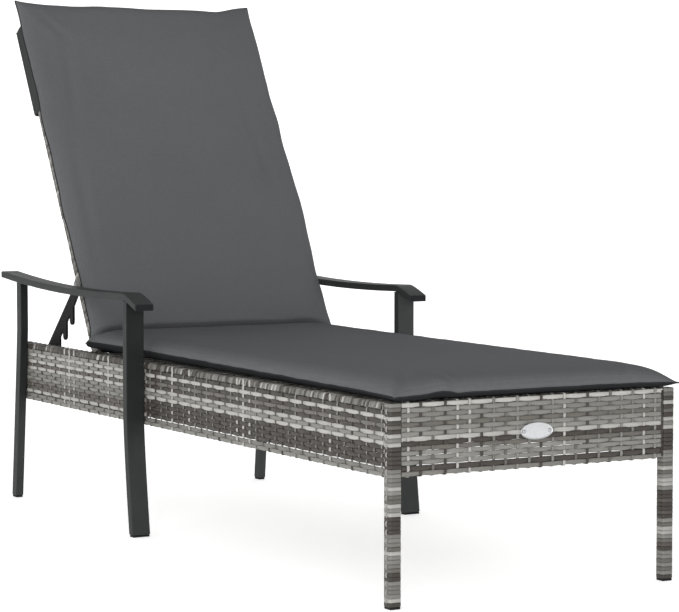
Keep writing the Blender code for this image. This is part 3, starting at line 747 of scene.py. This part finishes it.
def back_stiles():
    for side, sign in SIDES:
        strands = Strands(seed=51 if sign < 0 else 52)
        x = sign * (BACK_HALF - STILE_WIDTH / 2)
        first = 0.012                          # where the loops start along the backrest
        wrapped_bar(strands, back_point(x, first, 0), back_point(x, BACK_LENGTH, 0), X_AXIS,
                    BACK_OUT, STILE_WIDTH, 2 * BACK_FACE, STILE_TONES, radius=0.003,
                    snug=(LEDGE_REACH[0] - first, LEDGE_REACH[1] - first))
        strands.add([back_point(x, -0.006, 0), back_point(x, BACK_LENGTH - 0.001, 0)], BACK_OUT,
                    STILE_WIDTH - 0.0026, 2 * BACK_FACE - 0.0026, TONES["d"])
        along = np.arange(0.018, BACK_LENGTH - 0.004, LOOP / 4)
        lift = edge_lift(along, 0.0009)
        lift[(along > LEDGE_REACH[0]) & (along < LEDGE_REACH[1])] = -0.0006
        path = np.array([back_point(x + sign * (STILE_WIDTH / 2 - 0.0004 + o), a, 0)
                         for a, o in zip(along, lift)])
        strands.add(path, X_AXIS * sign, 0.0050, 0.0009, strands.tint("s"))
        stand_in(strands.finish(f"back_stile_wrap_{side}", RATTAN), f"back_stile_{side}",
                 "backrest")


# ---- Steel parts with softened edges ----
def softened(node, name, material, body, width, segments=3):
    """A CAD part's own shape with rounded edges, as its finished piece."""
    shape = bmesh.new()
    shape.from_mesh(NODES[node].data)
    bmesh.ops.remove_doubles(shape, verts=shape.verts, dist=1e-5)
    bmesh.ops.dissolve_limit(shape, angle_limit=math.radians(0.4), verts=shape.verts,
                             edges=shape.edges)
    made = shaped_piece(name, shape)
    made.data.polygons.foreach_set("use_smooth", [True] * len(made.data.polygons))
    made.data.materials.clear()
    made.data.materials.append(material)
    made.matrix_world = NODES[node].matrix_world
    rounding = made.modifiers.new("rounding", "BEVEL")
    rounding.width = width
    rounding.segments = segments
    rounding.limit_method = "ANGLE"
    rounding.angle_limit = math.radians(35)
    made.modifiers.new("shading", "WEIGHTED_NORMAL").keep_sharp = False
    bake(made)
    stand_in(made, node, body)
    return made


def paint_front_light_and_shade(piece, material, least):
    """Gives the faces that look to the foot end a material of their own, as painted light and
    shade.
    """
    piece.data.materials.append(material)
    for face in piece.data.polygons:
        if face.normal.y < -least:
            face.material_index = 1


ARM_EDGE, LEG_EDGE, PLATE_EDGE, GLIDE_EDGE = 0.0022, 0.0016, 0.0007, 0.0003   # radii


def steel_parts():
    for side, _ in SIDES:
        arm = softened(f"armrest_{side}", f"armrest_tube_{side}", COATED,
                       "bed", ARM_EDGE)
        # Painted shade: the armrest's front-end faces get the darker glide plastic.
        paint_front_light_and_shade(arm, GLIDE, 0.9)
        for leg in ("mid", "rear"):
            tube = softened(f"{leg}_leg_{side}", f"{leg}_leg_tube_{side}", COATED,
                            "bed", LEG_EDGE)
            # Painted shade on the left legs' front faces and painted light on the right legs'
            # front faces.
            paint_front_light_and_shade(tube, COATED_LEFT_PAINTED_SHADE if side == "left" else COATED_RIGHT_PAINTED_LIGHT, 0.6)
        softened(f"strut_plate_{side}", f"strut_comb_{side}", FRAME_COAT,
                 "strut", PLATE_EDGE, 2)
        for leg in ("foot", "mid", "rear"):
            softened(f"glide_{leg}_{side}", f"{leg}_end_cap_{side}", GLIDE,
                     "bed", GLIDE_EDGE, 1)


# The plate's rings from its edge inwards: share of the size, height above the apron's face.
BADGE_RINGS = [(1.0, 0.0), (1.0, 0.0010), (0.985, 0.0016), (0.95, 0.0018), (0.915, 0.0015),
               (0.90, 0.0011), (0.80, 0.00115), (0.60, 0.00135), (0.35, 0.0015),
               (0.12, 0.00155)]


def badge():
    """A blank oval plate with a raised rim and a slightly domed field."""
    middle_x, middle_z = ((BADGE_LOW[k] + BADGE_HIGH[k]) / 2 for k in (0, 2))
    half_w, half_h = ((BADGE_HIGH[k] - BADGE_LOW[k]) / 2 for k in (0, 2))
    steps = 72
    shape = bmesh.new()
    loops = []
    for scale, height in BADGE_RINGS:
        inset = (1 - scale) * half_h
        angles = [2 * math.pi * i / steps for i in range(steps)]
        loops.append([shape.verts.new((middle_x + (half_w - inset) * math.cos(angle),
                                       BADGE_HIGH[1] - height,
                                       middle_z + (half_h - inset) * math.sin(angle)))
                      for angle in angles])
    for outer, inner in zip(loops, loops[1:]):
        for i in range(steps):
            j = (i + 1) % steps
            shape.faces.new((outer[i], outer[j], inner[j], inner[i]))
    shape.faces.new(loops[-1])
    shape.faces.new(loops[0][::-1])
    bmesh.ops.recalc_face_normals(shape, faces=shape.faces)
    made = shaped_piece("oval_badge", shape, BADGE_METAL)
    made.data.polygons.foreach_set("use_smooth", [True] * len(made.data.polygons))
    stand_in(made, "badge", "bed")


def paint_nodes():
    """Finishes for the CAD parts that stay as they are."""
    finishes = {"frame_steel": FRAME_COAT, "armrest_coating": COATED, "zinc_fitting": ZINC,
                "glide_plastic": GLIDE, "badge_metal": BADGE_METAL}
    for node in NODES.values():
        for place in node.material_slots:
            plain = place.material.name.split(".")[0] if place.material else ""
            place.material = finishes.get(plain, place.material)


# ---- Cushion ----
PAD_HALF = 0.287             # half the width
PAD_FRONT = BED_Y - 0.004
PAD_REST = BED_TOP + 0.0006  # height of the underside
PAD_DRIFT = 0.0065           # how far the cushion lies to the right from the fold on
FOLD_RADIUS = 0.0352         # of the underside
FOLD_START = BED_Y + 1.1962
BACK_REST = 0.0172           # the cushion's rear face, out from the backrest's middle plane
BACK_START, BACK_END = 0.0279, 0.843      # along the backrest
# Lengths along the cushion, which the code calls v. Places across it are u, from -1 to 1.
SEAT_RUN = FOLD_START - PAD_FRONT
FOLD_RUN = FOLD_RADIUS * RECLINE
BACK_RUN = BACK_END - BACK_START
RUN = SEAT_RUN + FOLD_RUN + BACK_RUN
SEAT_THICK, BACK_THICK = 0.0380, 0.0305
FOLD_V = SEAT_RUN + FOLD_RUN / 2
EAR_LEFT, EAR_RIGHT = 0.0215, 0.0120      # how far the cushion's edges stand out at the fold
AIR_LIMIT = 0.0060           # how far the air may move any point
AIR_FRAMES = 20
UV_MIDDLE, UV_UNDER = 0.3, 0.9            # the UV map's centre line, and the underside's shift
# Rises and dips of the head edge: place across (-1 to 1), reach, height.
HEAD_EDGE = [(-0.22, 0.30, 0.0040), (0.33, 0.15, 0.0014), (0.712, 0.055, -0.0038),
             (0.90, 0.075, 0.0032), (-0.97, 0.06, -0.0010)]


def rest_line(v):
    """(Y, Z) on the line that the cushion lies on at length v, and the direction off it."""
    if v <= SEAT_RUN:
        return np.array((PAD_FRONT + v, PAD_REST)), np.array((0.0, 1.0))
    if v <= SEAT_RUN + FOLD_RUN:
        turn = (v - SEAT_RUN) / FOLD_RADIUS
        centre = np.array((FOLD_START, PAD_REST + FOLD_RADIUS))
        off = np.array((-math.sin(turn), math.cos(turn)))
        return centre - FOLD_RADIUS * off, off
    along = BACK_START + v - SEAT_RUN - FOLD_RUN
    point = back_point(0, along, BACK_REST)
    return point[1:], BACK_OUT[1:]


def dome(distance, reach):
    """From 0 at an edge to 1 at reach and beyond, as a quarter round."""
    share = min(1.0, max(0.0, distance) / reach)
    return math.sqrt(1 - (1 - share) ** 2)


def near(distance, reach):
    """From 1 at no distance towards 0, falling by a factor e with each reach."""
    return math.exp(-distance / reach)


def bell(distance, reach, power=2):
    """From 1 at no distance towards 0 on both sides. A higher power has a flatter top."""
    return np.exp(-(distance / reach) ** power)


def build_cushion(quick):
    """The cushion before its creases, and its edge's vertices in order.

    Two sheets share their edge. Each point lies off the line of rest_line: the lower sheet
    by low, the upper one by top.
    """
    columns = np.concatenate([[0, .010, .022, .038, .060], np.linspace(.085, 1, 19)])
    columns = np.unique(np.concatenate([columns - 1, 1 - columns]))
    rows_v = np.concatenate([[0, .006, .013, .022, .034],
                             np.linspace(.046, SEAT_RUN - .030, 92),
                             np.linspace(SEAT_RUN - .020, SEAT_RUN + FOLD_RUN + .028, 24),
                             np.linspace(SEAT_RUN + FOLD_RUN + .038, RUN - .046, 60),
                             RUN - np.array([.034, .022, .013, .006, 0])])
    rng = random.Random(71)
    waves = [(rng.uniform(18, 60), rng.uniform(0, 6.28), rng.uniform(0.3, 1.0)) for _ in range(14)]

    def ripple(s):
        return sum(a * math.sin(f * s + p) for f, p, a in waves) / 4.5

    count_u, count_v = len(columns), len(rows_v)
    shape = bmesh.new()
    uv_layer = shape.loops.layers.uv.new("cloth_uv")
    tops, bottoms, flat = {}, {}, {}
    for j, v in enumerate(rows_v):
        end = min(v, RUN - v)
        at_foot = v < RUN / 2
        centre, off = rest_line(v)
        ahead, _ = rest_line(min(v + 1e-4, RUN))
        behind, _ = rest_line(max(v - 1e-4, 0))
        forward = (ahead - behind) / np.linalg.norm(ahead - behind)
        seat = v < FOLD_V
        thick = SEAT_THICK if seat else BACK_THICK
        drift = PAD_DRIFT * min(1.0, v / FOLD_V)
        fold = near(abs(v - FOLD_V), 0.012)
        seam = (0.0085 + 0.0095 * min(1.0, v / 0.95) if seat else 0.0135) + 0.0045 * fold
        if seat:
            thick += 0.0022 * min(1.0, v / 0.9)
            pull = 0.0030 + 0.0020 * (1 - near(end, 0.12))
            swell = 0
        else:
            height = v - SEAT_RUN - FOLD_RUN + BACK_START
            pull = 0.0010 + 0.0032 * math.exp(-((height - 0.160) / 0.060) ** 2)
            swell = 0.0038 * math.exp(-((height - 0.335) / 0.120) ** 4)
        for i, u in enumerate(columns):
            ear = (0.0085 if at_foot else 0.0030) * near(end, 0.028)
            ear += (EAR_LEFT if u < 0 else EAR_RIGHT) * fold
            half = PAD_HALF - pull + ear * abs(u) ** 6 + 0.0024 * ripple(v) * abs(u) ** 8
            if u > 0:
                half += swell * u ** 4
            x = u * half + drift
            side = (1 - abs(u)) * PAD_HALF
            corner = near(side, 0.040)
            push = (0.0120 if at_foot else 0.0100) * corner * near(end, 0.05)
            sag = (0.0045 if at_foot else 0.0052) + 0.0012 * ripple(x * 1.3)
            push -= sag * (1 - near(side, 0.09)) * near(end, 0.10)
            if not at_foot:
                push += near(end, 0.05) * sum(
                    height * math.exp(-((u - middle) / reach) ** 2)
                    for middle, reach, height in HEAD_EDGE)
            both = dome(side, 0.030) * dome(end, 0.032)
            flatter = 0.25 if u < 0 else 0.85 if at_foot else 0.55
            both *= 1 - flatter * corner * near(end, 0.045)
            top = seam + (thick - seam) * both
            low = seam * (1 - dome(side, 0.030 if seat else 0.022) * dome(end, 0.026))
            if abs(x) < 0.252:
                low -= 0.0085 * math.exp(-((v - SEAT_RUN - 0.014) / 0.011) ** 2)
            place = centre + forward * (push * (-1 if at_foot else 1))
            flat[i, j] = (x + UV_MIDDLE, v)
            pucker = 0.0009 * ripple((v if side < end else x) * 2.2) * near(min(side, end), 0.03)
            top_point = place + off * (top + pucker)
            tops[i, j] = shape.verts.new((x, top_point[0], top_point[1]))
            if 0 < i < count_u - 1 and 0 < j < count_v - 1:
                low_point = place + off * low
                bottoms[i, j] = shape.verts.new((x, low_point[0], low_point[1]))
            else:
                bottoms[i, j] = tops[i, j]
    for j in range(count_v - 1):
        for i in range(count_u - 1):
            corners = [(i, j), (i + 1, j), (i + 1, j + 1), (i, j + 1)]
            for sheet, flip in ((tops, False), (bottoms, True)):
                keys = corners[::-1] if flip else corners
                face = shape.faces.new([sheet[key] for key in keys])
                face.smooth = True
                # The lower sheet takes the darker underside cloth, as painted shade.
                face.material_index = int(flip)
                for loop, key in zip(face.loops, keys):
                    loop[uv_layer].uv = (flat[key][0] + UV_UNDER * flip, flat[key][1])
    shape.verts.index_update()
    rim = [tops[i, 0].index for i in range(count_u)]
    rim += [tops[count_u - 1, j].index for j in range(1, count_v)]
    rim += [tops[i, count_v - 1].index for i in range(count_u - 2, -1, -1)]
    rim += [tops[0, j].index for j in range(count_v - 2, 0, -1)]
    made = shaped_piece("cushion", shape, CLOTH, UNDER_CLOTH_PAINTED_SHADE)
    if not quick:
        inflate(made, AIR_LIMIT)
    return made, rim


def flat_places(mesh):
    """Each vertex's place on the flat cushion: across, along and which sheet it is in."""
    corners = np.empty(len(mesh.loops), dtype=np.int32)
    mesh.loops.foreach_get("vertex_index", corners)
    flat = np.empty(len(mesh.loops) * 2)
    mesh.uv_layers["cloth_uv"].data.foreach_get("uv", flat)
    flat = flat.reshape(-1, 2)
    under = flat[:, 0] > UV_MIDDLE + UV_UNDER / 2
    across = flat[:, 0] - UV_MIDDLE - UV_UNDER * under
    x, v = np.zeros(len(mesh.vertices)), np.zeros(len(mesh.vertices))
    below = np.ones(len(mesh.vertices), dtype=bool)
    x[corners], v[corners] = across, flat[:, 1]
    below[corners[~under]] = False
    return x, v, below


# Wrinkles as across, along, direction (degrees from across), half length, half width, depth.
WRINKLES = [
    (-0.185, 0.036, 125, 0.042, 0.0065, 0.0038), (-0.240, 0.050, 60, 0.045, 0.0085, 0.0026),
    (-0.150, 0.030, 100, 0.028, 0.0060, 0.0022), (0.205, 0.034, 45, 0.032, 0.0065, 0.0026),
    (0.120, 0.026, 80, 0.022, 0.0070, 0.0012), (-0.232, 0.640, 20, 0.040, 0.0090, 0.0020),
    (-0.225, 0.350, 150, 0.034, 0.0080, 0.0014), (0.220, 0.840, 160, 0.040, 0.0100, 0.0016),
    (0.030, 0.500, 75, 0.120, 0.0400, 0.0018), (-0.090, 0.950, 110, 0.110, 0.0350, 0.0018),
]
# The same on the back half, where along counts from the fold.
WRINKLES += [(across, FOLD_V + beyond, *rest) for across, beyond, *rest in [
    (-0.236, 0.34, 88, 0.130, 0.0100, 0.0018), (-0.205, 0.62, 84, 0.110, 0.0130, 0.0020),
    (0.222, 0.46, 95, 0.120, 0.0110, 0.0016), (0.190, 0.78, 55, 0.050, 0.0090, 0.0020),
    (-0.215, 0.77, 130, 0.045, 0.0090, 0.0018), (-0.190, 0.045, 15, 0.060, 0.0090, 0.0026),
    (0.180, 0.040, 170, 0.060, 0.0100, 0.0026), (0.000, 0.30, 10, 0.150, 0.0450, 0.0020),
]]
CREASE = 0.0225              # depth of the fold's crease on its back side
CREASE_SEAT = 0.0040         # and on its seat side


def dress(points, x, v, below):
    """Presses the crease at the fold, wrinkles and the front edge's wave into the cushion."""
    off = np.array([(0, *rest_line(one)[1]) for one in v])
    depth = np.zeros(len(v))
    for across, along, angle, length, width, amount in WRINKLES:
        c, d = math.cos(math.radians(angle)), math.sin(math.radians(angle))
        run = (x - across) * c + (v - along) * d
        gap = (v - along) * c - (x - across) * d
        ridge = bell(np.abs(gap) - 1.9 * width, width)
        depth += amount * bell(run, length) * (bell(gap, width) - 0.45 * ridge)
    beyond = v - FOLD_V
    inside = np.clip((PAD_HALF - np.abs(x)) / 0.045, 0.12, 1)
    past = np.maximum(0, beyond - 0.5 * FOLD_RUN)
    short = np.maximum(0, -beyond - 0.25 * FOLD_RUN)
    crease = np.where(beyond > 0, CREASE * bell(past, 0.0165, 4),
                      CREASE_SEAT * bell(short, 0.0060))
    soft = np.clip(beyond / 0.006 + 0.5, 0, 1)
    blended = CREASE_SEAT + (CREASE - CREASE_SEAT) * soft * soft * (3 - 2 * soft)
    crease = np.where(np.abs(beyond) < 0.003, blended, crease)
    depth += crease * inside
    points -= off * np.where(below, 0, depth)[:, None]
    # The underside hangs a little into the slot behind the deck, and the front edge waves.
    droop = 0.010 * bell(v - SEAT_RUN - 0.018, 0.009)
    points[:, 2] -= np.where(below, droop * np.clip((0.262 - np.abs(x)) / 0.008, 0, 1), 0)
    points[:, 2] += 0.0038 * bell(x + 0.192, 0.022) * np.exp(-v / 0.02)
    return settle(points)


def inflate(piece, cap):
    """Fills the cushion with a little air as cloth, and keeps each point within a cap."""
    start = coordinates(piece.data)
    cloth = piece.modifiers.new("air", "CLOTH")
    settings = cloth.settings
    settings.quality = 5
    settings.mass = 0.3
    settings.tension_stiffness = 18
    settings.compression_stiffness = 12
    settings.shear_stiffness = 6
    settings.bending_stiffness = 0.6
    settings.use_pressure = True
    settings.uniform_pressure_force = 4.0
    settings.effector_weights.gravity = 0.0
    settings.shrink_min = -0.022
    cloth.collision_settings.use_collision = False
    cloth.point_cache.frame_start = 1
    cloth.point_cache.frame_end = AIR_FRAMES
    for number in range(1, AIR_FRAMES + 1):
        bpy.context.scene.frame_set(number)
    graph = bpy.context.evaluated_depsgraph_get()
    moved = coordinates(piece.evaluated_get(graph).to_mesh())
    piece.evaluated_get(graph).to_mesh_clear()
    bpy.context.scene.frame_set(1)
    piece.modifiers.clear()
    step = moved - start
    size = np.linalg.norm(step, axis=1, keepdims=True)
    limited = step * (cap * np.tanh(size / cap) / np.maximum(size, 1e-9))
    x, v, _ = flat_places(piece.data)
    inside = np.minimum(PAD_HALF - np.abs(x), np.minimum(v, RUN - v))
    # The edge seam holds the cushion, so its points move least.
    free = 0.12 + 0.88 * np.clip(inside / 0.05, 0, 1)
    move_points(piece.data, start + limited * free[:, None])


def settle(points):
    """Keeps the cushion above the deck and its end rail, and off the backrest's front."""
    seat = points[:, 1] < FOLD_START - 0.012
    points[seat, 2] = np.maximum(points[seat, 2], PAD_REST)
    # In the slot behind the deck the cushion may hang lower, but less over the slot's ends.
    slot = ~seat & (points[:, 1] < FOLD_START + 0.045)
    ends = slot & (np.abs(points[:, 0]) > 0.236)
    points[slot, 2] = np.maximum(points[slot, 2], PAD_REST - 0.0060)
    points[ends, 2] = np.maximum(points[ends, 2], PAD_REST - 0.0013)
    rail = slot & (points[:, 1] < DECK_HIGH[1] + 0.0005)
    points[rail, 2] = np.maximum(points[rail, 2], PAD_REST)
    lean = points - back_point(0, 0, 0)
    out = lean @ BACK_OUT
    along = lean @ BACK_UP
    over_stile = (np.abs(points[:, 0]) > BACK_HALF - STILE_WIDTH - 0.001) & (along > -0.010)
    back = ((along > BACK_START + 0.006) | over_stile) & ~seat
    short = np.where(back, np.maximum(0, BACK_REST - out), 0)
    points += short[:, None] * BACK_OUT
    return points


def cushion():
    piece, rim = build_cushion(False)
    move_points(piece.data, settle(coordinates(piece.data)))
    smooth = piece.modifiers.new("smooth", "SUBSURF")
    smooth.levels = smooth.render_levels = 1
    bake(piece)
    finer = dress(settle(coordinates(piece.data)), *flat_places(piece.data))
    move_points(piece.data, finer)
    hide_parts("seat_pad", "back_pad")

    welt = Strands(ROUNDED, 5)
    path = finer[rim]
    welt.add(path, unit(path - path.mean(axis=0)) + 1e-6, 0.0026, 0.0026, linear(62, 63, 65),
             cyclic=True)
    edge = welt.finish_fabric("cushion_welt", WELT)
    for part in (piece, edge):
        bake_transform(part)


# ---- Hood ----
def hood_outline(half, face):
    """The pocket's outline, across and through the backrest, with rounded corners."""
    corner = 0.0025
    flat = []
    for cx, cy, start in ((1, 1, 0), (-1, 1, 90), (-1, -1, 180), (1, -1, 270)):
        for step in range(4):
            angle = math.radians(start + 30 * step)
            flat.append((cx * (half - corner) + corner * math.cos(angle),
                         cy * (face - corner) + corner * math.sin(angle)))
        if cx == cy:
            flat += [(cx * (half - corner) * (1 - step / 15), cy * face)
                     for step in range(1, 30)]
        else:
            flat += [(cx * half, cy * (face - corner) * (1 - step / 2)) for step in range(1, 4)]
    return np.array(flat)


def hood():
    """The fabric pocket over the top of the backrest, with a hem round its mouth."""
    low, high = BACK_LENGTH + 0.0018 - HOOD_LENGTH, BACK_LENGTH + 0.0085
    half, face = BACK_HALF + 0.0016, BACK_FACE + 0.0012
    rear_room = 0.0085       # for the back panel and the rails behind it
    stations = list(np.linspace(low, high - 0.004, 34)) + [high - 0.0016, high - 0.0004, high]
    flat = hood_outline(half, face)
    rng = random.Random(81)
    folds = [(rng.uniform(9, 34), rng.uniform(0, 6.28), rng.uniform(-30, 30)) for _ in range(9)]
    shape = bmesh.new()
    layer = shape.loops.layers.uv.new("cloth_uv")
    steps = np.linalg.norm(np.roll(flat, -1, 0) - flat, axis=1)
    length = np.concatenate([[0], np.cumsum(steps)])
    loops = []
    for along in stations:
        left = high - along
        closed = 0.9 if left < 1e-6 else 0.10 if left < 0.001 else 0.02 if left < 0.003 else 0
        flare = 0.0004 * math.exp(-(along - low) / 0.012)
        loop = []
        for x, y in flat:
            waves = sum(math.sin(f * x + p + k * along) for f, p, k in folds) / 3
            bulge = max(flare + 0.00055 * waves * (left > 0.01), -0.0004)
            wider = max(0, bulge) * 0.5 * (abs(x) > half - 0.001) - 0.0015 * closed
            deeper = bulge * (1 if y >= 0 else -1)
            rear = (y < 0) * rear_room * min(1.0, left / 0.002)
            loop.append(shape.verts.new(tuple(back_point(
                x + wider * (1 if x >= 0 else -1), along, (y + deeper - rear) * (1 - closed)))))
        loops.append(loop)
    count = len(flat)
    for row in range(len(loops) - 1):
        for i in range(count):
            j = (i + 1) % count
            quad = shape.faces.new((loops[row][i], loops[row][j], loops[row + 1][j],
                                    loops[row + 1][i]))
            quad.smooth = True
            places = ((i, row), (i + 1, row), (i + 1, row + 1), (i, row + 1))
            for corner, (column, line) in zip(quad.loops, places):
                corner[layer].uv = (length[column], stations[line])
    bmesh.ops.recalc_face_normals(shape, faces=shape.faces)
    made = shaped_piece("backrest_hood", shape, HOOD_CLOTH)
    shell = made.modifiers.new("shell", "SOLIDIFY")
    shell.thickness = 0.0009
    shell.offset = 1.0
    bake(made)
    hem = Strands(PLAIN, 6)
    path = np.array([back_point(x * 1.004, low + 0.004, y * 1.06) for x, y in flat])
    hem.add(path, unit(path - back_point(0, low + 0.004, 0)), 0.010, 0.0012, linear(60, 61, 62),
            cyclic=True)
    band = hem.finish_fabric("backrest_hood_hem", HOOD_CLOTH)
    seams = Strands(PLAIN, 7)
    for _, sign in SIDES:
        path = [back_point(sign * (half + 0.0006), a, -face - 0.0082)
                for a in np.linspace(low + 0.002, high - 0.001, 30)]
        seams.add(path, X_AXIS * sign, 0.0022, 0.0022, linear(40, 41, 42))
    edge = seams.finish_fabric("backrest_hood_seams", HOOD_CLOTH)
    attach(edge, "backrest")
    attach(band, "backrest")
    stand_in(made, "cushion_hood", "backrest")


# ---- Stage and light ----
def stage():
    """A pale floor that sweeps up into a pale backdrop."""
    shape = bmesh.new()
    profile = [(-9.0, 0.0), (7.0, 0.0)]
    profile += [(7.0 + 3.0 * math.sin(a), 3.0 - 3.0 * math.cos(a))
                for a in np.linspace(0.1, math.pi / 2, 14)]
    profile.append((10.0, 9.0))
    yaw = math.radians(-CAMERA_YAW)
    turn = np.array(((math.cos(yaw), -math.sin(yaw)), (math.sin(yaw), math.cos(yaw))))
    rows = [[shape.verts.new((*(turn @ np.array((across, away))), height))
             for across in (-14.0, 14.0)] for away, height in profile]
    for low, high in zip(rows, rows[1:]):
        shape.faces.new((low[0], low[1], high[1], high[0])).smooth = True
    shaped_piece("floor", shape, floor_material())


LAMP_SIZE = 2.2
LAMP_AIM = (0, 0, 0.4)


def lamp(name, place, power):
    """A square soft lamp that looks at the lounger's middle."""
    light = bpy.data.lights.new(name, "AREA")
    light.shape = "RECTANGLE"
    light.size = light.size_y = LAMP_SIZE
    light.energy = power
    made = bpy.data.objects.new(name, light)
    made.location = place
    aim = Vector(LAMP_AIM) - Vector(place)
    made.rotation_euler = aim.to_track_quat("-Z", "Y").to_euler()
    bpy.context.scene.collection.objects.link(made)


def lighting():
    """A white world that is darker towards its top, and two lamps."""
    world = bpy.data.worlds.new("studio")
    world.use_nodes = True
    tree = world.node_tree
    tree.nodes["Background"].inputs["Color"].default_value = (1, 1, 1, 1)
    place = tree.nodes.new("ShaderNodeTexCoord")
    height = tree.nodes.new("ShaderNodeSeparateXYZ")
    fade = tree.nodes.new("ShaderNodeMapRange")
    for key, value in (("From Min", 0.05), ("To Min", 1.02), ("To Max", 0.31)):
        fade.inputs[key].default_value = value
    tree.links.new(place.outputs["Generated"], height.inputs["Vector"])
    tree.links.new(height.outputs["Z"], fade.inputs["Value"])
    tree.links.new(fade.outputs["Result"], tree.nodes["Background"].inputs["Strength"])
    bpy.context.scene.world = world
    lamp("key", (-2.4, -4.3, 1.5), 82)
    lamp("fill", (-5.0, -1.6, 1.3), 50)
    bpy.context.scene.view_settings.view_transform = "Standard"


for label, direction in SIDES:
    side_apron(label, direction)
foot_apron()
flat_weave("woven_deck", "seat_deck", (DECK_LOW[0], DECK_LOW[1], BED_TOP - 0.0022), X_AXIS,
           Y_AXIS, Z_AXIS, DECK_HIGH[0] - DECK_LOW[0], DECK_HIGH[1] - DECK_LOW[1], 61, "bed")
BACK_INNER = BACK_HALF - STILE_WIDTH - GAP
flat_weave("woven_back", "back_weave", back_point(-BACK_INNER, 0.024, BACK_FACE - 0.0024),
           X_AXIS, BACK_UP, BACK_OUT, 2 * BACK_INNER, BACK_LENGTH - 0.026, 62, "backrest", 0.0078)
corner_posts()
wrapped_cross_rails()
back_stiles()
steel_parts()
badge()
paint_nodes()
cushion()
hood()
stage()
lighting()
